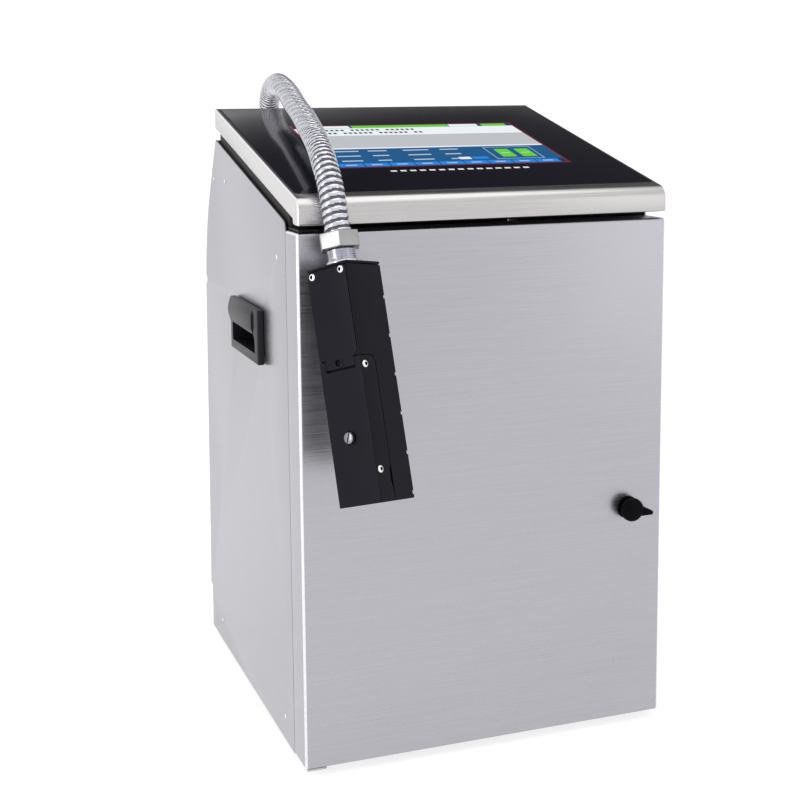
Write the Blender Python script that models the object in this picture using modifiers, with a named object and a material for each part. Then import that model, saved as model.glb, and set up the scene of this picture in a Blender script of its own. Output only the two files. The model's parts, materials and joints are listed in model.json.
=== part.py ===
"""Continuous inkjet date coder: stainless cabinet, touch-screen lid, front door, printhead and umbilical.

Units are metres, written as millimetres times MM. The row frame has +Z up, the front faces -Y, and
+X is to the right of someone facing the door. The cabinet frame, in which most sub-parts are placed,
starts at the left, bottom, front corner of the door.
"""

import bpy
import bmesh
import numpy as np
from math import atan2, ceil, cos, pi, radians, sin
from mathutils import Euler, Matrix, Vector

MM = 0.001

# Driving dimensions, in millimetres.
WIDTH = 330.0                 # cabinet and door
DOOR_HEIGHT = 444.8
DOOR_DEPTH = 32.1
BODY_FRONT = 33.2             # front edge of the side panels, just behind the door
SIDE_BACK_LOW = 352.0         # rear edge of the side panels above the plinth step
SIDE_BACK_HIGH = 337.0        # the same edge at the notch
PLINTH_BACK = 346.0
PLINTH_STEP = 45.0
NOTCH_HEIGHT = 368.5
SHEET = 1.5                   # stainless sheet
GAP = 0.3                     # clearance between touching pieces
FOOT_HEIGHT = 8.0
BODY_CENTRE_Y = 122.6         # half way between the printhead's front and the rear gland's end

LID_FRONT = -2.0
LID_BACK = 284.0
LID_SLOPE = 13.48             # degrees
GLASS_FRONT = (15.0, 474.9)   # y and z of the glass's front edge, on its top face
GLASS_LENGTH = 273.4
GLASS_SIDES = (3.9, 326.0)

REAR_PLATE = 334.0            # front face of the rear panel
FAN_CENTRE = (262.0, 240.0)   # x and z on the rear panel
GLAND_CENTRE = (290.0, 48.0)
SOCKETS = [(96.0 + 26.0 * index, 70.0) for index in range(5)]
HINGE_AXIS = (6.0, 6.0)       # x and y of the door's pivot pins
LATCH_AXIS = (296.0, 192.0)   # x and z of the door latch

HEAD_SIDE = 40.5
HEAD_LENGTH = 182.3
HEAD_TOP = (27.5, -33.4, 422.0)
HEAD_TURN = (-18.2, -2.2, -56.7)      # lean, tilt and spin, in degrees

HOSE_DIAMETER = 21.0
COIL_CENTRE = (209.0, 499.0)
COIL_RADIUS = 116.0
COIL_TURNS = 31.0 / 12.0
COIL_LIFT = 1.6               # the coil lies on its tie strap
FAN_BLADES = 7


def remove_scene_objects():
    for old in list(bpy.data.objects):
        bpy.data.objects.remove(old, do_unlink=True)


def new_collection(name):
    collection = bpy.data.collections.new(name)
    bpy.context.scene.collection.children.link(collection)
    return collection


remove_scene_objects()
PARTS = new_collection("inkjet_date_coder")
CUTTERS = new_collection("cutters")
FRAMES = {}


# ---------------------------------------------------------------- materials

def material(name, colour, roughness, metallic=0.0):
    made = bpy.data.materials.new(name)
    made.use_nodes = True
    shader = made.node_tree.nodes["Principled BSDF"]
    shader.inputs["Base Color"].default_value = (*colour, 1.0)
    shader.inputs["Roughness"].default_value = roughness
    shader.inputs["Metallic"].default_value = metallic
    return made


STEEL = material("brushed_stainless", (0.62, 0.61, 0.64), 0.35, 1.0)
LID_STEEL = material("lid_stainless", (0.70, 0.68, 0.66), 0.30, 1.0)
BLACK_PLASTIC = material("black_plastic", (0.02, 0.02, 0.025), 0.45)
BLACK_GLASS = material("black_glass", (0.015, 0.013, 0.025), 0.08)
BLACK_ANODISED = material("black_anodised", (0.03, 0.028, 0.035), 0.42, 0.6)
RUBBER = material("black_rubber", (0.025, 0.025, 0.025), 0.8)
NICKEL = material("nickel_plated", (0.72, 0.71, 0.68), 0.22, 1.0)
CONDUIT = material("steel_conduit", (0.66, 0.66, 0.70), 0.25, 1.0)
WHITE_PLASTIC = material("tank_polyethylene", (0.82, 0.83, 0.80), 0.5)
GREEN_BOARD = material("circuit_board", (0.02, 0.16, 0.07), 0.5)
ZINC = material("zinc_plated", (0.55, 0.56, 0.58), 0.4, 1.0)


# ---------------------------------------------------------------- frames and objects

def frame(name, parent=None, location=(0, 0, 0), rotation=(0, 0, 0), order="XYZ"):
    """Make an empty: a placing frame, or the axis that a moving body turns about."""
    empty = bpy.data.objects.new(name, None)
    empty.empty_display_size = 0.02
    PARTS.objects.link(empty)
    empty.parent = parent
    empty.rotation_mode = order
    empty.location = Vector(location) * MM
    empty.rotation_euler = [radians(angle) for angle in rotation]
    above = FRAMES[parent.name] if parent else Matrix.Identity(4)
    FRAMES[name] = above @ Matrix.Translation(empty.location) @ empty.rotation_euler.to_matrix().to_4x4()
    return empty


CABINET = frame("cabinet_frame", location=(-WIDTH / 2, -BODY_CENTRE_Y, FOOT_HEIGHT))
LID_PLANE = frame("lid_plane", CABINET, (0, *GLASS_FRONT), (LID_SLOPE, 0, 0))
DOOR_AXIS = frame("door_hinge_axis", CABINET, (*HINGE_AXIS, 0))
LATCH = frame("latch_axis", DOOR_AXIS, (LATCH_AXIS[0] - HINGE_AXIS[0], -HINGE_AXIS[1], LATCH_AXIS[1]))
SWITCH = frame("switch_axis", CABINET, (53.5, REAR_PLATE - 0.6, 100.5))
FAN = frame("fan_axis", CABINET, (FAN_CENTRE[0], REAR_PLATE - GAP, FAN_CENTRE[1]))
HEAD_SWING = frame("printhead_swing_axis", CABINET, (*HINGE_AXIS, 0))
HEAD = frame("printhead_frame", HEAD_SWING,
             (HEAD_TOP[0] - HINGE_AXIS[0], HEAD_TOP[1] - HINGE_AXIS[1], HEAD_TOP[2]), HEAD_TURN, "ZXY")


def add(name, data, finish, place, body=None, location=(0, 0, 0), rotation=(0, 0, 0)):
    """Link an object placed in one frame, and carried by a body's empty where it moves with one."""
    made = bpy.data.objects.new(name, data)
    PARTS.objects.link(made)
    made.location = Vector(location) * MM
    made.rotation_euler = [radians(angle) for angle in rotation]
    made.parent = body or place
    if body:
        made.matrix_parent_inverse = FRAMES[body.name].inverted() @ FRAMES[place.name]
    data.materials.append(finish)
    return made


def smooth(mesh, angle=40.0):
    mesh.shade_smooth()
    mesh.set_sharp_from_angle(angle=radians(angle))


def mesh_from(work, name):
    mesh = bpy.data.meshes.new(name)
    work.to_mesh(mesh)
    work.free()
    return mesh


def bevelled(target, width, segments=1, angle=30.0):
    modifier = target.modifiers.new("edges", "BEVEL")
    modifier.width = width * MM
    modifier.segments = segments
    modifier.limit_method = "ANGLE"
    modifier.angle_limit = radians(angle)
    return target


def box(name, low, high, finish, place=CABINET, body=None, bevel=0.0, segments=1):
    """A block between two corners, its origin at its centre."""
    size = Vector(high) - Vector(low)
    centre = (Vector(high) + Vector(low)) / 2
    work = bmesh.new()
    bmesh.ops.create_cube(work, size=1.0)
    bmesh.ops.scale(work, vec=size * MM, verts=work.verts)
    made = add(name, mesh_from(work, name), finish, place, body, centre)
    if bevel:
        bevelled(made, bevel, segments)
    return made


TURNS = {"X": (0, 90, 0), "Y": (-90, 0, 0), "Z": (0, 0, 0)}


def cylinder(name, start, radius, length, axis, finish, place=CABINET, body=None, sides=20,
             end_radius=None, turn=0.0):
    """A round, conical or prismatic bar from a start point along +X, +Y or +Z."""
    work = bmesh.new()
    top = radius if end_radius is None else end_radius
    bmesh.ops.create_cone(work, cap_ends=True, segments=sides, radius1=radius * MM,
                          radius2=top * MM, depth=length * MM)
    bmesh.ops.translate(work, vec=(0, 0, length * MM / 2), verts=work.verts)
    bmesh.ops.rotate(work, cent=(0, 0, 0), matrix=Matrix.Rotation(radians(turn), 3, "Z"), verts=work.verts)
    mesh = mesh_from(work, name)
    if sides > 8:
        smooth(mesh)
    return add(name, mesh, finish, place, body, start, TURNS[axis])


def turned(name, profile, finish, start, axis, place=CABINET, body=None, sides=20):
    """A lathe piece: (radius, height) pairs that run down the outside, from the top to the bottom."""
    work = bmesh.new()
    corners = [work.verts.new((radius * MM, 0, height * MM)) for radius, height in profile]
    for upper, lower in zip(corners, corners[1:]):
        work.edges.new((upper, lower))
    made = add(name, mesh_from(work, name), finish, place, body, start, TURNS[axis])
    screw = made.modifiers.new("lathe", "SCREW")
    screw.steps = sides
    screw.render_steps = sides
    screw.use_merge_vertices = True
    screw.merge_threshold = 0.00005
    return made


PLANES = {"YZ": (90, 0, 90), "XZ": (90, 0, 0), "XY": (0, 0, 0)}


def plate(name, outlines, thickness, plane, middle, finish, place=CABINET, body=None):
    """A flat piece cut from sheet: the first outline is its edge and the others are holes."""
    curve = bpy.data.curves.new(name, "CURVE")
    curve.dimensions = "2D"
    curve.fill_mode = "BOTH"
    curve.extrude = thickness * MM / 2
    for outline in outlines:
        spline = curve.splines.new("POLY")
        spline.points.add(len(outline) - 1)
        for point, (across, along) in zip(spline.points, outline):
            point.co = (across * MM, along * MM, 0, 1)
        spline.use_cyclic_u = True
    return add(name, curve, finish, place, body, middle, PLANES[plane])


def as_mesh(source):
    """Turn a curve object into a mesh object with welded caps, so that it can be cut."""
    bpy.context.view_layer.update()
    evaluated = source.evaluated_get(bpy.context.evaluated_depsgraph_get())
    mesh = bpy.data.meshes.new_from_object(evaluated)
    work = bmesh.new()
    work.from_mesh(mesh)
    bmesh.ops.remove_doubles(work, verts=work.verts, dist=0.00001)
    work.to_mesh(mesh)
    work.free()
    name = source.name
    made = bpy.data.objects.new(name + "_mesh", mesh)
    PARTS.objects.link(made)
    made.parent = source.parent
    made.matrix_parent_inverse = source.matrix_parent_inverse.copy()
    made.matrix_basis = source.matrix_basis.copy()
    bpy.data.objects.remove(source, do_unlink=True)
    made.name = name
    return made


def combine(target, tool, operation):
    """Cut or join a target with a tool, which stays as a hidden guide."""
    modifier = target.modifiers.new(operation.lower(), "BOOLEAN")
    modifier.operation = operation
    modifier.object = tool
    tool.hide_render = True
    tool.display_type = "WIRE"
    PARTS.objects.unlink(tool)
    CUTTERS.objects.link(tool)
    return target


def cut(target, tool):
    return combine(target, tool, "DIFFERENCE")


def join(target, tool):
    return combine(target, tool, "UNION")


def folded_sheet(name, profile, span, thickness, finish, place=CABINET, body=None):
    """Sheet metal with parallel bends: (y, z) profile points swept across X, thickened inwards."""
    work = bmesh.new()
    left = [work.verts.new((span[0] * MM, y * MM, z * MM)) for y, z in profile]
    right = [work.verts.new((span[1] * MM, y * MM, z * MM)) for y, z in profile]
    for index in range(len(profile) - 1):
        work.faces.new((left[index], right[index], right[index + 1], left[index + 1]))
    made = add(name, mesh_from(work, name), finish, place, body)
    solidify = made.modifiers.new("sheet", "SOLIDIFY")
    solidify.thickness = thickness * MM
    solidify.offset = -1.0
    solidify.use_even_offset = True
    return made


def pan(name, low, high, open_side, thickness, finish, place=CABINET, body=None, bevel=0.0):
    """A sheet-metal pan: a box with one side left open, its sheet thickness going inwards."""
    size = Vector(high) - Vector(low)
    centre = (Vector(high) + Vector(low)) / 2
    work = bmesh.new()
    bmesh.ops.create_cube(work, size=1.0)
    opening = Vector(open_side)
    doomed = [face for face in work.faces if face.normal.dot(opening) > 0.9]
    bmesh.ops.delete(work, geom=doomed, context="FACES_ONLY")
    bmesh.ops.scale(work, vec=size * MM, verts=work.verts)
    made = add(name, mesh_from(work, name), finish, place, body, centre)
    if bevel:
        bevelled(made, bevel, 2)
    solidify = made.modifiers.new("sheet", "SOLIDIFY")
    solidify.thickness = thickness * MM
    solidify.offset = -1.0
    solidify.use_even_offset = True
    return made


# ---------------------------------------------------------------- outlines

def arc(centre, radius, first, last, count):
    """Points along an arc, both ends included, with its angles in degrees."""
    angles = [radians(first + (last - first) * step / count) for step in range(count + 1)]
    return [(centre[0] + radius * cos(angle), centre[1] + radius * sin(angle)) for angle in angles]


def rounded(low, high, radius, count=3):
    """A rectangle with round corners."""
    (left, bottom), (right, top) = low, high
    return (arc((right - radius, bottom + radius), radius, -90, 0, count)
            + arc((right - radius, top - radius), radius, 0, 90, count)
            + arc((left + radius, top - radius), radius, 90, 180, count)
            + arc((left + radius, bottom + radius), radius, 180, 270, count))


def circle(centre, radius, count=20):
    return arc(centre, radius, 0, 360 - 360 / count, count - 1)


# ---------------------------------------------------------------- cabinet

SLOPE_RISE = 0.2397           # tangent of LID_SLOPE
SIDE_TOP_FRONT = 452.0        # height of the side panels' sloped edge at BODY_FRONT
HANDLE_LOW = (106.0, 321.0)   # y and z of the handle's lower front corner
HANDLE_HIGH = (206.0, 369.0)
REAR_CURVE = [(SIDE_BACK_HIGH, 374.0), (334.5, 392.0), (329.0, 415.0), (319.5, 441.0),
              (305.0, 467.0), (292.5, 488.0), (279.0, 509.5)]


def side_outline():
    """The side panel's edge in (y, z): plinth step, notch, curved back, sloped top, round front corner."""
    notch = arc((SIDE_BACK_HIGH + 0.5, NOTCH_HEIGHT), 4.5, 276, 96, 6)
    corner = arc((BODY_FRONT + 9, SIDE_TOP_FRONT - 8), 9, 104, 180, 4)
    return ([(BODY_FRONT, 0), (PLINTH_BACK, 0), (PLINTH_BACK, PLINTH_STEP), (SIDE_BACK_LOW, PLINTH_STEP)]
            + notch + REAR_CURVE + corner)


def side_panels():
    hole = rounded((HANDLE_LOW[0] + 5, HANDLE_LOW[1] + 5), (HANDLE_HIGH[0] - 5, HANDLE_HIGH[1] - 5), 4)
    for name, middle in (("left_side_panel", SHEET / 2), ("right_side_panel", WIDTH - SHEET / 2)):
        plate(name, [side_outline(), hole], SHEET, "YZ", (middle, 0, 0), STEEL)


INNER = (SHEET + GAP, WIDTH - SHEET - GAP)     # x range between the side panels


def front_frame():
    """The flange that the door's seal closes on, with the compartment's mouth in it."""
    edge = rounded((INNER[0], 2), (INNER[1], 444), 2)
    mouth = rounded((24, 28), (306, 422), 8)
    plate("front_frame", [edge, mouth], SHEET, "XZ", (0, BODY_FRONT + GAP + SHEET / 2, 0), STEEL)


def base_pan():
    front = BODY_FRONT + SHEET + 2 * GAP
    pan("base_pan", (INNER[0], front, 0.2), (INNER[1], REAR_PLATE - GAP, 24), (0, 0, 1), SHEET, STEEL)


def rear_panel():
    """A flat recessed plate with the fan grille, the power inlet, the sockets and the gland's hole."""
    outline = rounded((INNER[0], 2), (INNER[1], NOTCH_HEIGHT), 2)
    holes = [circle(GLAND_CENTRE, 13.5, 16),
             rounded((38.5, 58.5), (68.5, 111.5), 0.4)]
    holes += [circle(centre, 8.4, 12) for centre in SOCKETS]
    for row in range(-3, 4):
        half = (34 ** 2 - (row * 9.0) ** 2) ** 0.5
        level = FAN_CENTRE[1] + row * 9.0
        holes.append(rounded((FAN_CENTRE[0] - half, level - 2.5), (FAN_CENTRE[0] + half, level + 2.5), 2.4, 2))
    plate("rear_panel", [outline] + holes, SHEET, "XZ", (0, REAR_PLATE + SHEET / 2, 0), STEEL)


def rear_top_cover():
    """The curved upper rear of the cabinet, from the notch up to the lid."""
    profile = [(y - 1.0, z) for y, z in REAR_CURVE]
    profile[0] = (SIDE_BACK_HIGH - 1.0, NOTCH_HEIGHT + 4)
    folded_sheet("rear_top_cover", profile[::-1], INNER, SHEET, STEEL)


def component_shelf():
    """The wall between the ink compartment below and the electronics above."""
    pan("component_shelf", (INNER[0], 37, 284), (INNER[1], REAR_PLATE - GAP, 296), (0, 0, -1), SHEET, STEEL)


def lid_collar():
    """The black gasket frame under the lid, flush with the cabinet and set back behind the door."""
    low = 446.4

    def outline(inset, bottom, top):
        front, back = BODY_FRONT + 0.5 + inset, 276 - inset
        rise = (back - front) * SLOPE_RISE
        return [(front, bottom), (back, bottom + rise * 0.99), (back, top + rise), (front, top)]

    collar = as_mesh(plate("lid_collar", [outline(0, SIDE_TOP_FRONT - 6, 471)], WIDTH - 8, "YZ",
                           (WIDTH / 2, 0, 0), RUBBER))
    core = as_mesh(plate("collar_core", [outline(3, low - 40, 500)], WIDTH - 14, "YZ", (WIDTH / 2, 0, 0), RUBBER))
    return cut(collar, core)


# ---------------------------------------------------------------- lid and screen

def lid_profile(inset):
    """The lid's section in (y, z), rolled at the front, with its skirt stepped down behind the front."""
    front, back = LID_FRONT + inset, LID_BACK - inset
    top = GLASS_FRONT[1] - GLASS_FRONT[0] * SLOPE_RISE - inset * 1.03
    roll = arc((front + 12, top + (front + 12) * SLOPE_RISE - 12.3), 12, 180, 90 + LID_SLOPE, 5)
    skirt = 0 if inset == 0 else -30
    return ([(front, 450.6 + skirt)] + roll
            + [(back, top + back * SLOPE_RISE), (back, 520 + skirt)]
            + ([(13.6, 455.2), (12.0, 450.6)] if inset == 0 else []))


def lid_rim():
    """The stainless lid: a folded tray, open below, with a seat for the glass."""
    span = WIDTH - 1.6
    lid = as_mesh(plate("lid_rim", [lid_profile(0)], span, "YZ", (WIDTH / 2, 0, 0), LID_STEEL))
    core = as_mesh(plate("lid_core", [lid_profile(SHEET)], span - 2 * SHEET, "YZ", (WIDTH / 2, 0, 0), LID_STEEL))
    cut(lid, core)
    seat = box("glass_seat", (GLASS_SIDES[0] - GAP, -GAP, -20), (GLASS_SIDES[1] + GAP, GLASS_LENGTH + GAP, 5),
               LID_STEEL, LID_PLANE)
    return cut(lid, seat)


def screen_glass():
    edge = rounded((GLASS_SIDES[0], 0), (GLASS_SIDES[1], GLASS_LENGTH), 4)
    plate("screen_glass", [edge], 3.0, "XY", (0, 0, -1.5), BLACK_GLASS, LID_PLANE)


def display_module():
    box("display_module", (47, 52, -14), (288, 222, -3.3), ZINC, LID_PLANE, bevel=0.8)


# ---------------------------------------------------------------- handles and feet

def side_handle(name, side):
    """A moulded grip that passes through the side panel; side is -1 on the left and 1 on the right."""
    wall = 0.0 if side < 0 else WIDTH
    (front, low), (back, high) = HANDLE_LOW, HANDLE_HIGH

    def block(part, outer, inner, y_range, z_range, bevel=0.0, segments=1):
        xs = sorted((wall + side * outer, wall + side * inner))
        return box(part, (xs[0], y_range[0], z_range[0]), (xs[1], y_range[1], z_range[1]), BLACK_PLASTIC,
                   bevel=bevel, segments=segments)

    handle = block(name, 9.0, GAP, (front, back), (low, high), 1.5, 2)
    cup = block(name + "_cup", GAP + 2, -26.0, (front + 6, back - 6), (low + 6, high - 6), 2.0, 2)
    join(handle, cup)
    pocket = block(name + "_pocket", 12.0, -23.5, (front + 10, back - 10), (low + 9, high - 20))
    cut(handle, pocket)
    under_grip = block(name + "_reach", -3.0, -23.5, (front + 10, back - 10), (low + 9.5, high - 9))
    return cut(handle, under_grip)


def feet():
    """Four rubber feet, screwed under the base pan."""
    for name, x, y in (("foot_front_left", 36, 82), ("foot_front_right", WIDTH - 36, 82),
                       ("foot_rear_left", 36, 306), ("foot_rear_right", WIDTH - 36, 306)):
        cylinder(name, (x, y, -FOOT_HEIGHT), 11, FOOT_HEIGHT - 0.2, "Z", RUBBER, sides=16, end_radius=13)


# ---------------------------------------------------------------- door

def hinge_brackets():
    """Two plates fixed to the cabinet, each with a pin that the door's flange turns on."""
    x, y = HINGE_AXIS
    top = box("top_hinge_bracket", (2.5, 2.2, 445.5), (19, BODY_FRONT - 0.1, 447.5), STEEL, bevel=0.4)
    join(top, cylinder("top_pin", (x, y, 440.5), 2.6, 6, "Z", STEEL, sides=16))
    bottom = box("bottom_hinge_bracket", (2.5, 2.2, -2.6), (19, 58, -0.4), STEEL, bevel=0.4)
    join(bottom, cylinder("bottom_pin", (x, y, -1.5), 2.6, 6, "Z", STEEL, sides=16))


def door_pan():
    door = pan("door_pan", (0, 0, 0), (WIDTH, DOOR_DEPTH, DOOR_HEIGHT), (0, 1, 0), SHEET, STEEL,
               body=DOOR_AXIS, bevel=2.2)
    x, y = HINGE_AXIS
    cut(door, cylinder("hinge_holes", (x, y, -5), 2.9, DOOR_HEIGHT + 10, "Z", STEEL, body=DOOR_AXIS, sides=16))
    cut(door, cylinder("latch_hole", (LATCH_AXIS[0], -5, LATCH_AXIS[1]), 8.3, 20, "Y", STEEL,
                       body=DOOR_AXIS, sides=20))
    return door


def door_liner():
    """The stiffening pan inside the door, with a window round the latch."""
    liner = pan("door_liner", (12, SHEET + GAP, 9), (WIDTH - 6, 29, DOOR_HEIGHT - 9), (0, -1, 0), 1.2, STEEL,
                body=DOOR_AXIS)
    low = (LATCH_AXIS[0] - 14, 20, LATCH_AXIS[1] - 16)
    high = (LATCH_AXIS[0] + 9, 40, LATCH_AXIS[1] + 16)
    return cut(liner, box("latch_window", low, high, STEEL, body=DOOR_AXIS))


def door_seal():
    outer = rounded((13, 12), (WIDTH - 7, DOOR_HEIGHT - 12), 4)
    inner = rounded((20, 19), (WIDTH - 14, DOOR_HEIGHT - 19), 4)
    plate("door_seal", [outer, inner], 3.6, "XZ", (0, 29.3 + 1.8, 0), RUBBER, body=DOOR_AXIS)


def latch():
    """Quarter-turn latch: a body clamped in the door, a pointer knob on a shaft, and a cam."""
    x, z = LATCH_AXIS
    body = turned("latch_body", [(4.2, 31.0), (8.0, 31.0), (8.0, 1.8), (8.0, -0.6), (11.5, -0.6), (11.5, -1.6),
                                 (4.2, -1.6), (4.2, 31.0)], ZINC, (x, 0, z), "Y", body=DOOR_AXIS, sides=20)
    knob = cylinder("latch_knob", (0, -9.5, 0), 8.2, 7.6, "Y", BLACK_PLASTIC, LATCH, sides=24, end_radius=9.6)
    outline = ([(3, -5.2), (17.6, -2.1)] + arc((17.6, 0), 2.1, -90, 90, 4) + [(3, 5.2)]
               + arc((0, 0), 6.0, 120, 240, 6))
    wing = as_mesh(plate("knob_pointer", [outline], 12.0, "XZ", (0, -10.5, 0), BLACK_PLASTIC, LATCH))
    join(knob, wing)
    join(knob, cylinder("knob_shaft", (0, -3, 0), 3.6, 39.2, "Y", BLACK_PLASTIC, LATCH, sides=16))
    cam = plate("latch_cam", [arc((0, 0), 7, 180, 360, 6) + arc((0, 17), 5.5, 0, 180, 6)], 2.5, "XZ",
                (0, 37.9, 0), ZINC, LATCH)
    return body, knob, cam


# ---------------------------------------------------------------- printhead

HALF = HEAD_SIDE / 2
COVER_TOP = -72.0             # seam between the upper and the lower cover
COVER_SKIN = 2.0
CHANNEL = 24.0                # width of the cover's side walls
RIB_PITCH = 30.0
CAP = 2.4                     # thickness of the end cap


def head_spine():
    """The head's frame: a full-length rear wall with grooved edges and a solid upper block."""
    depth = HALF - CHANNEL + 1.0
    spine = box("head_spine", (-HALF, depth, -HEAD_LENGTH), (HALF, HALF, -CAP - GAP), BLACK_ANODISED, HEAD,
                bevel=0.8)
    for index in range(6):
        level = -RIB_PITCH * (index + 1) + 2
        groove = box("rib_groove_%d" % index, (HALF - 1.2, HALF - 1.6, level - 1.2), (HALF + 1, HALF + 1, level + 1.2),
                     BLACK_ANODISED, HEAD)
        cut(spine, groove)
    core = box("head_core", (-HALF + 3, -HALF + 3, COVER_TOP + 3), (HALF - 3, depth + 2, -5.2), BLACK_ANODISED, HEAD)
    join(spine, core)
    return cut(spine, box("core_bay", (-HALF + 6, -HALF - 1, COVER_TOP + 12), (HALF - 6, depth - 3, -14),
                          BLACK_ANODISED, HEAD))


def head_upper_cover():
    """A folded cover over the upper electronics, open towards the spine."""
    cover = pan("head_upper_cover", (-HALF, -HALF, COVER_TOP + 0.4), (HALF, HALF - CHANNEL + 0.6, -CAP - GAP),
                (0, 1, 0), COVER_SKIN, BLACK_ANODISED, HEAD)
    return bevelled(cover, 0.5)


def head_end_cap():
    """The plate that closes the head's top and carries the umbilical's union."""
    cap = box("head_end_cap", (-HALF, -HALF, -CAP), (HALF, HALF, 0), BLACK_ANODISED, HEAD, bevel=0.8)
    return cut(cap, cylinder("cap_bore", (0, 0, -5), 8.0, 12, "Z", BLACK_ANODISED, HEAD))


def head_lower_cover():
    """The removable nozzle cover, a channel with its bottom open for the ink jet."""
    low, high = (-HALF, -HALF, -HEAD_LENGTH), (HALF, HALF - CHANNEL + 0.6, COVER_TOP - 0.4)
    cover = pan("head_lower_cover", low, high, (0, 1, 0), COVER_SKIN, BLACK_ANODISED, HEAD)
    bevelled(cover, 0.5)
    cut(cover, box("jet_slot", (-6, -HALF + 6, -HEAD_LENGTH - 3), (6, -4, -HEAD_LENGTH + 6), BLACK_ANODISED, HEAD))
    cut(cover, cylinder("thumb_hole", (0, -HALF - 2, -132), 2.4, 8, "Y", BLACK_ANODISED, HEAD, sides=12))
    return cut(cover, box("finger_notch", (-12, -HALF - 1, COVER_TOP - 7), (8, -HALF + 1.2, COVER_TOP - 4),
                          BLACK_ANODISED, HEAD))


def cover_thumb_screw():
    screw = cylinder("cover_thumb_screw", (0, -HALF - 3.2, -132), 4.4, 2.9, "Y", NICKEL, HEAD, sides=16)
    join(screw, cylinder("thumb_shank", (0, -HALF - 1.5, -132), 2.1, 6.5, "Y", NICKEL, HEAD, sides=12))
    return cut(screw, box("driver_slot", (-5, -HALF - 4, -132.6), (5, -HALF - 2.2, -131.4), NICKEL, HEAD))


def gland():
    """The union that clamps the umbilical on the head: a threaded neck and a hexagonal nut."""
    neck = turned("gland_neck", [(7.0, 12.5), (11.4, 12.5), (11.4, 8.0), (12.6, 8.0), (12.6, GAP), (7.0, GAP),
                                 (7.0, 12.5)], NICKEL, (0, 0, 0), "Z", HEAD, sides=20)
    nut = cylinder("gland_nut", (0, 0, 12.8), 17.2, 12.9, "Z", NICKEL, HEAD, sides=6, turn=12)
    bevelled(nut, 1.0)
    cut(nut, cylinder("nut_bore", (0, 0, 10), 9.0, 20, "Z", NICKEL, HEAD))
    return neck, nut


def jet_train():
    """What the lower cover protects: drop generator, charge tunnel, deflection plates and gutter."""
    wall = HALF - CHANNEL + 1.0 - GAP
    generator = box("drop_generator", (-8, wall - 14, -98), (8, wall, -78), ZINC, HEAD, bevel=1.0)
    join(generator, cylinder("nozzle_tip", (0, wall - 9, -103), 2.5, 8, "Z", ZINC, HEAD, sides=12))
    tunnel = box("charge_electrode", (-6, wall - 14, -113), (6, wall, -105), BLACK_PLASTIC, HEAD, bevel=0.5)
    cut(tunnel, cylinder("tunnel_bore", (0, wall - 9, -115), 1.4, 14, "Z", BLACK_PLASTIC, HEAD, sides=10))
    for name, x in (("left_deflection_plate", -5.6), ("right_deflection_plate", 4.0)):
        box(name, (x, wall - 14, -148), (x + 1.6, wall, -117), NICKEL, HEAD)
    gutter = box("gutter_block", (-7, wall - 13, -166), (7, wall, -156), ZINC, HEAD, bevel=0.6)
    return cut(gutter, cylinder("gutter_bore", (0, wall - 9, -160), 1.5, 8, "Z", ZINC, HEAD, sides=10))


# ---------------------------------------------------------------- ink system

FLOOR_PAN_TOP = 2.0           # upper face of the base pan's floor, with its gap
SHELF_TOP = 296.3
TANK_SIZE = (94.0, 148.0, 146.0)
TANK_FRONT = 52.0
TANK_TOP = FLOOR_PAN_TOP + TANK_SIZE[2]
INK_NECK = (81.0, 110.0)      # x and y of the two bottles' necks
MAKEUP_NECK = (183.0, 110.0)


def tank(name, left, neck_centre):
    """A blow-moulded bottle: a hollow body with an open neck."""
    low = Vector((left, TANK_FRONT, FLOOR_PAN_TOP))
    high = low + Vector(TANK_SIZE)
    body = box(name, low, high, WHITE_PLASTIC, bevel=4.5, segments=2)
    x, y = neck_centre
    join(body, cylinder(name + "_neck", (x, y, high[2] - 2), 14, 14, "Z", WHITE_PLASTIC, sides=20))
    inset = Vector((2.5, 2.5, 2.5))
    cut(body, box(name + "_inside", low + inset, high - inset, WHITE_PLASTIC))
    return cut(body, cylinder(name + "_mouth", (x, y, high[2] - 10), 11.5, 30, "Z", WHITE_PLASTIC, sides=20))


def tank_cap(name, neck_centre, finish):
    """A screw cap that drops over the neck."""
    profile = [(0, 17.5), (18.0, 17.5), (19.0, 16.0), (19.0, 0.8), (14.6, 0.8), (14.6, 13.2), (0, 13.2)]
    return turned(name, profile, finish, (*neck_centre, TANK_TOP), "Z", sides=20)


def main_filter():
    profile = [(0, 92), (7, 92), (7, 80), (19, 80), (22, 76), (22, 6), (19, 0), (0, 0)]
    turned("main_filter", profile, WHITE_PLASTIC, (276, 92, FLOOR_PAN_TOP), "Z", sides=20)


def ink_pump():
    """A gear pump head with its motor behind it."""
    pump = box("ink_pump", (246, 208, FLOOR_PAN_TOP), (300, 246, 46), ZINC, bevel=1.5)
    join(pump, cylinder("pump_motor", (273, 240, 24), 19, 62, "Y", ZINC, sides=20))
    join(pump, cylinder("pump_inlet", (258, 196, 34), 4, 16, "Y", ZINC, sides=10))
    return join(pump, cylinder("pump_outlet", (288, 196, 34), 4, 16, "Y", ZINC, sides=10))


def valve_block():
    """The manifold on the compartment's rear wall, with a row of solenoid valves."""
    back = REAR_PLATE - GAP
    block = box("valve_block", (40, back - 22, 210), (190, back, 244), ZINC, bevel=1.0)
    for index in range(5):
        x = 54 + 30.5 * index
        join(block, cylinder("solenoid_%d" % index, (x, back - 52, 227), 11, 32, "Y", ZINC, sides=14))
    return block


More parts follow.
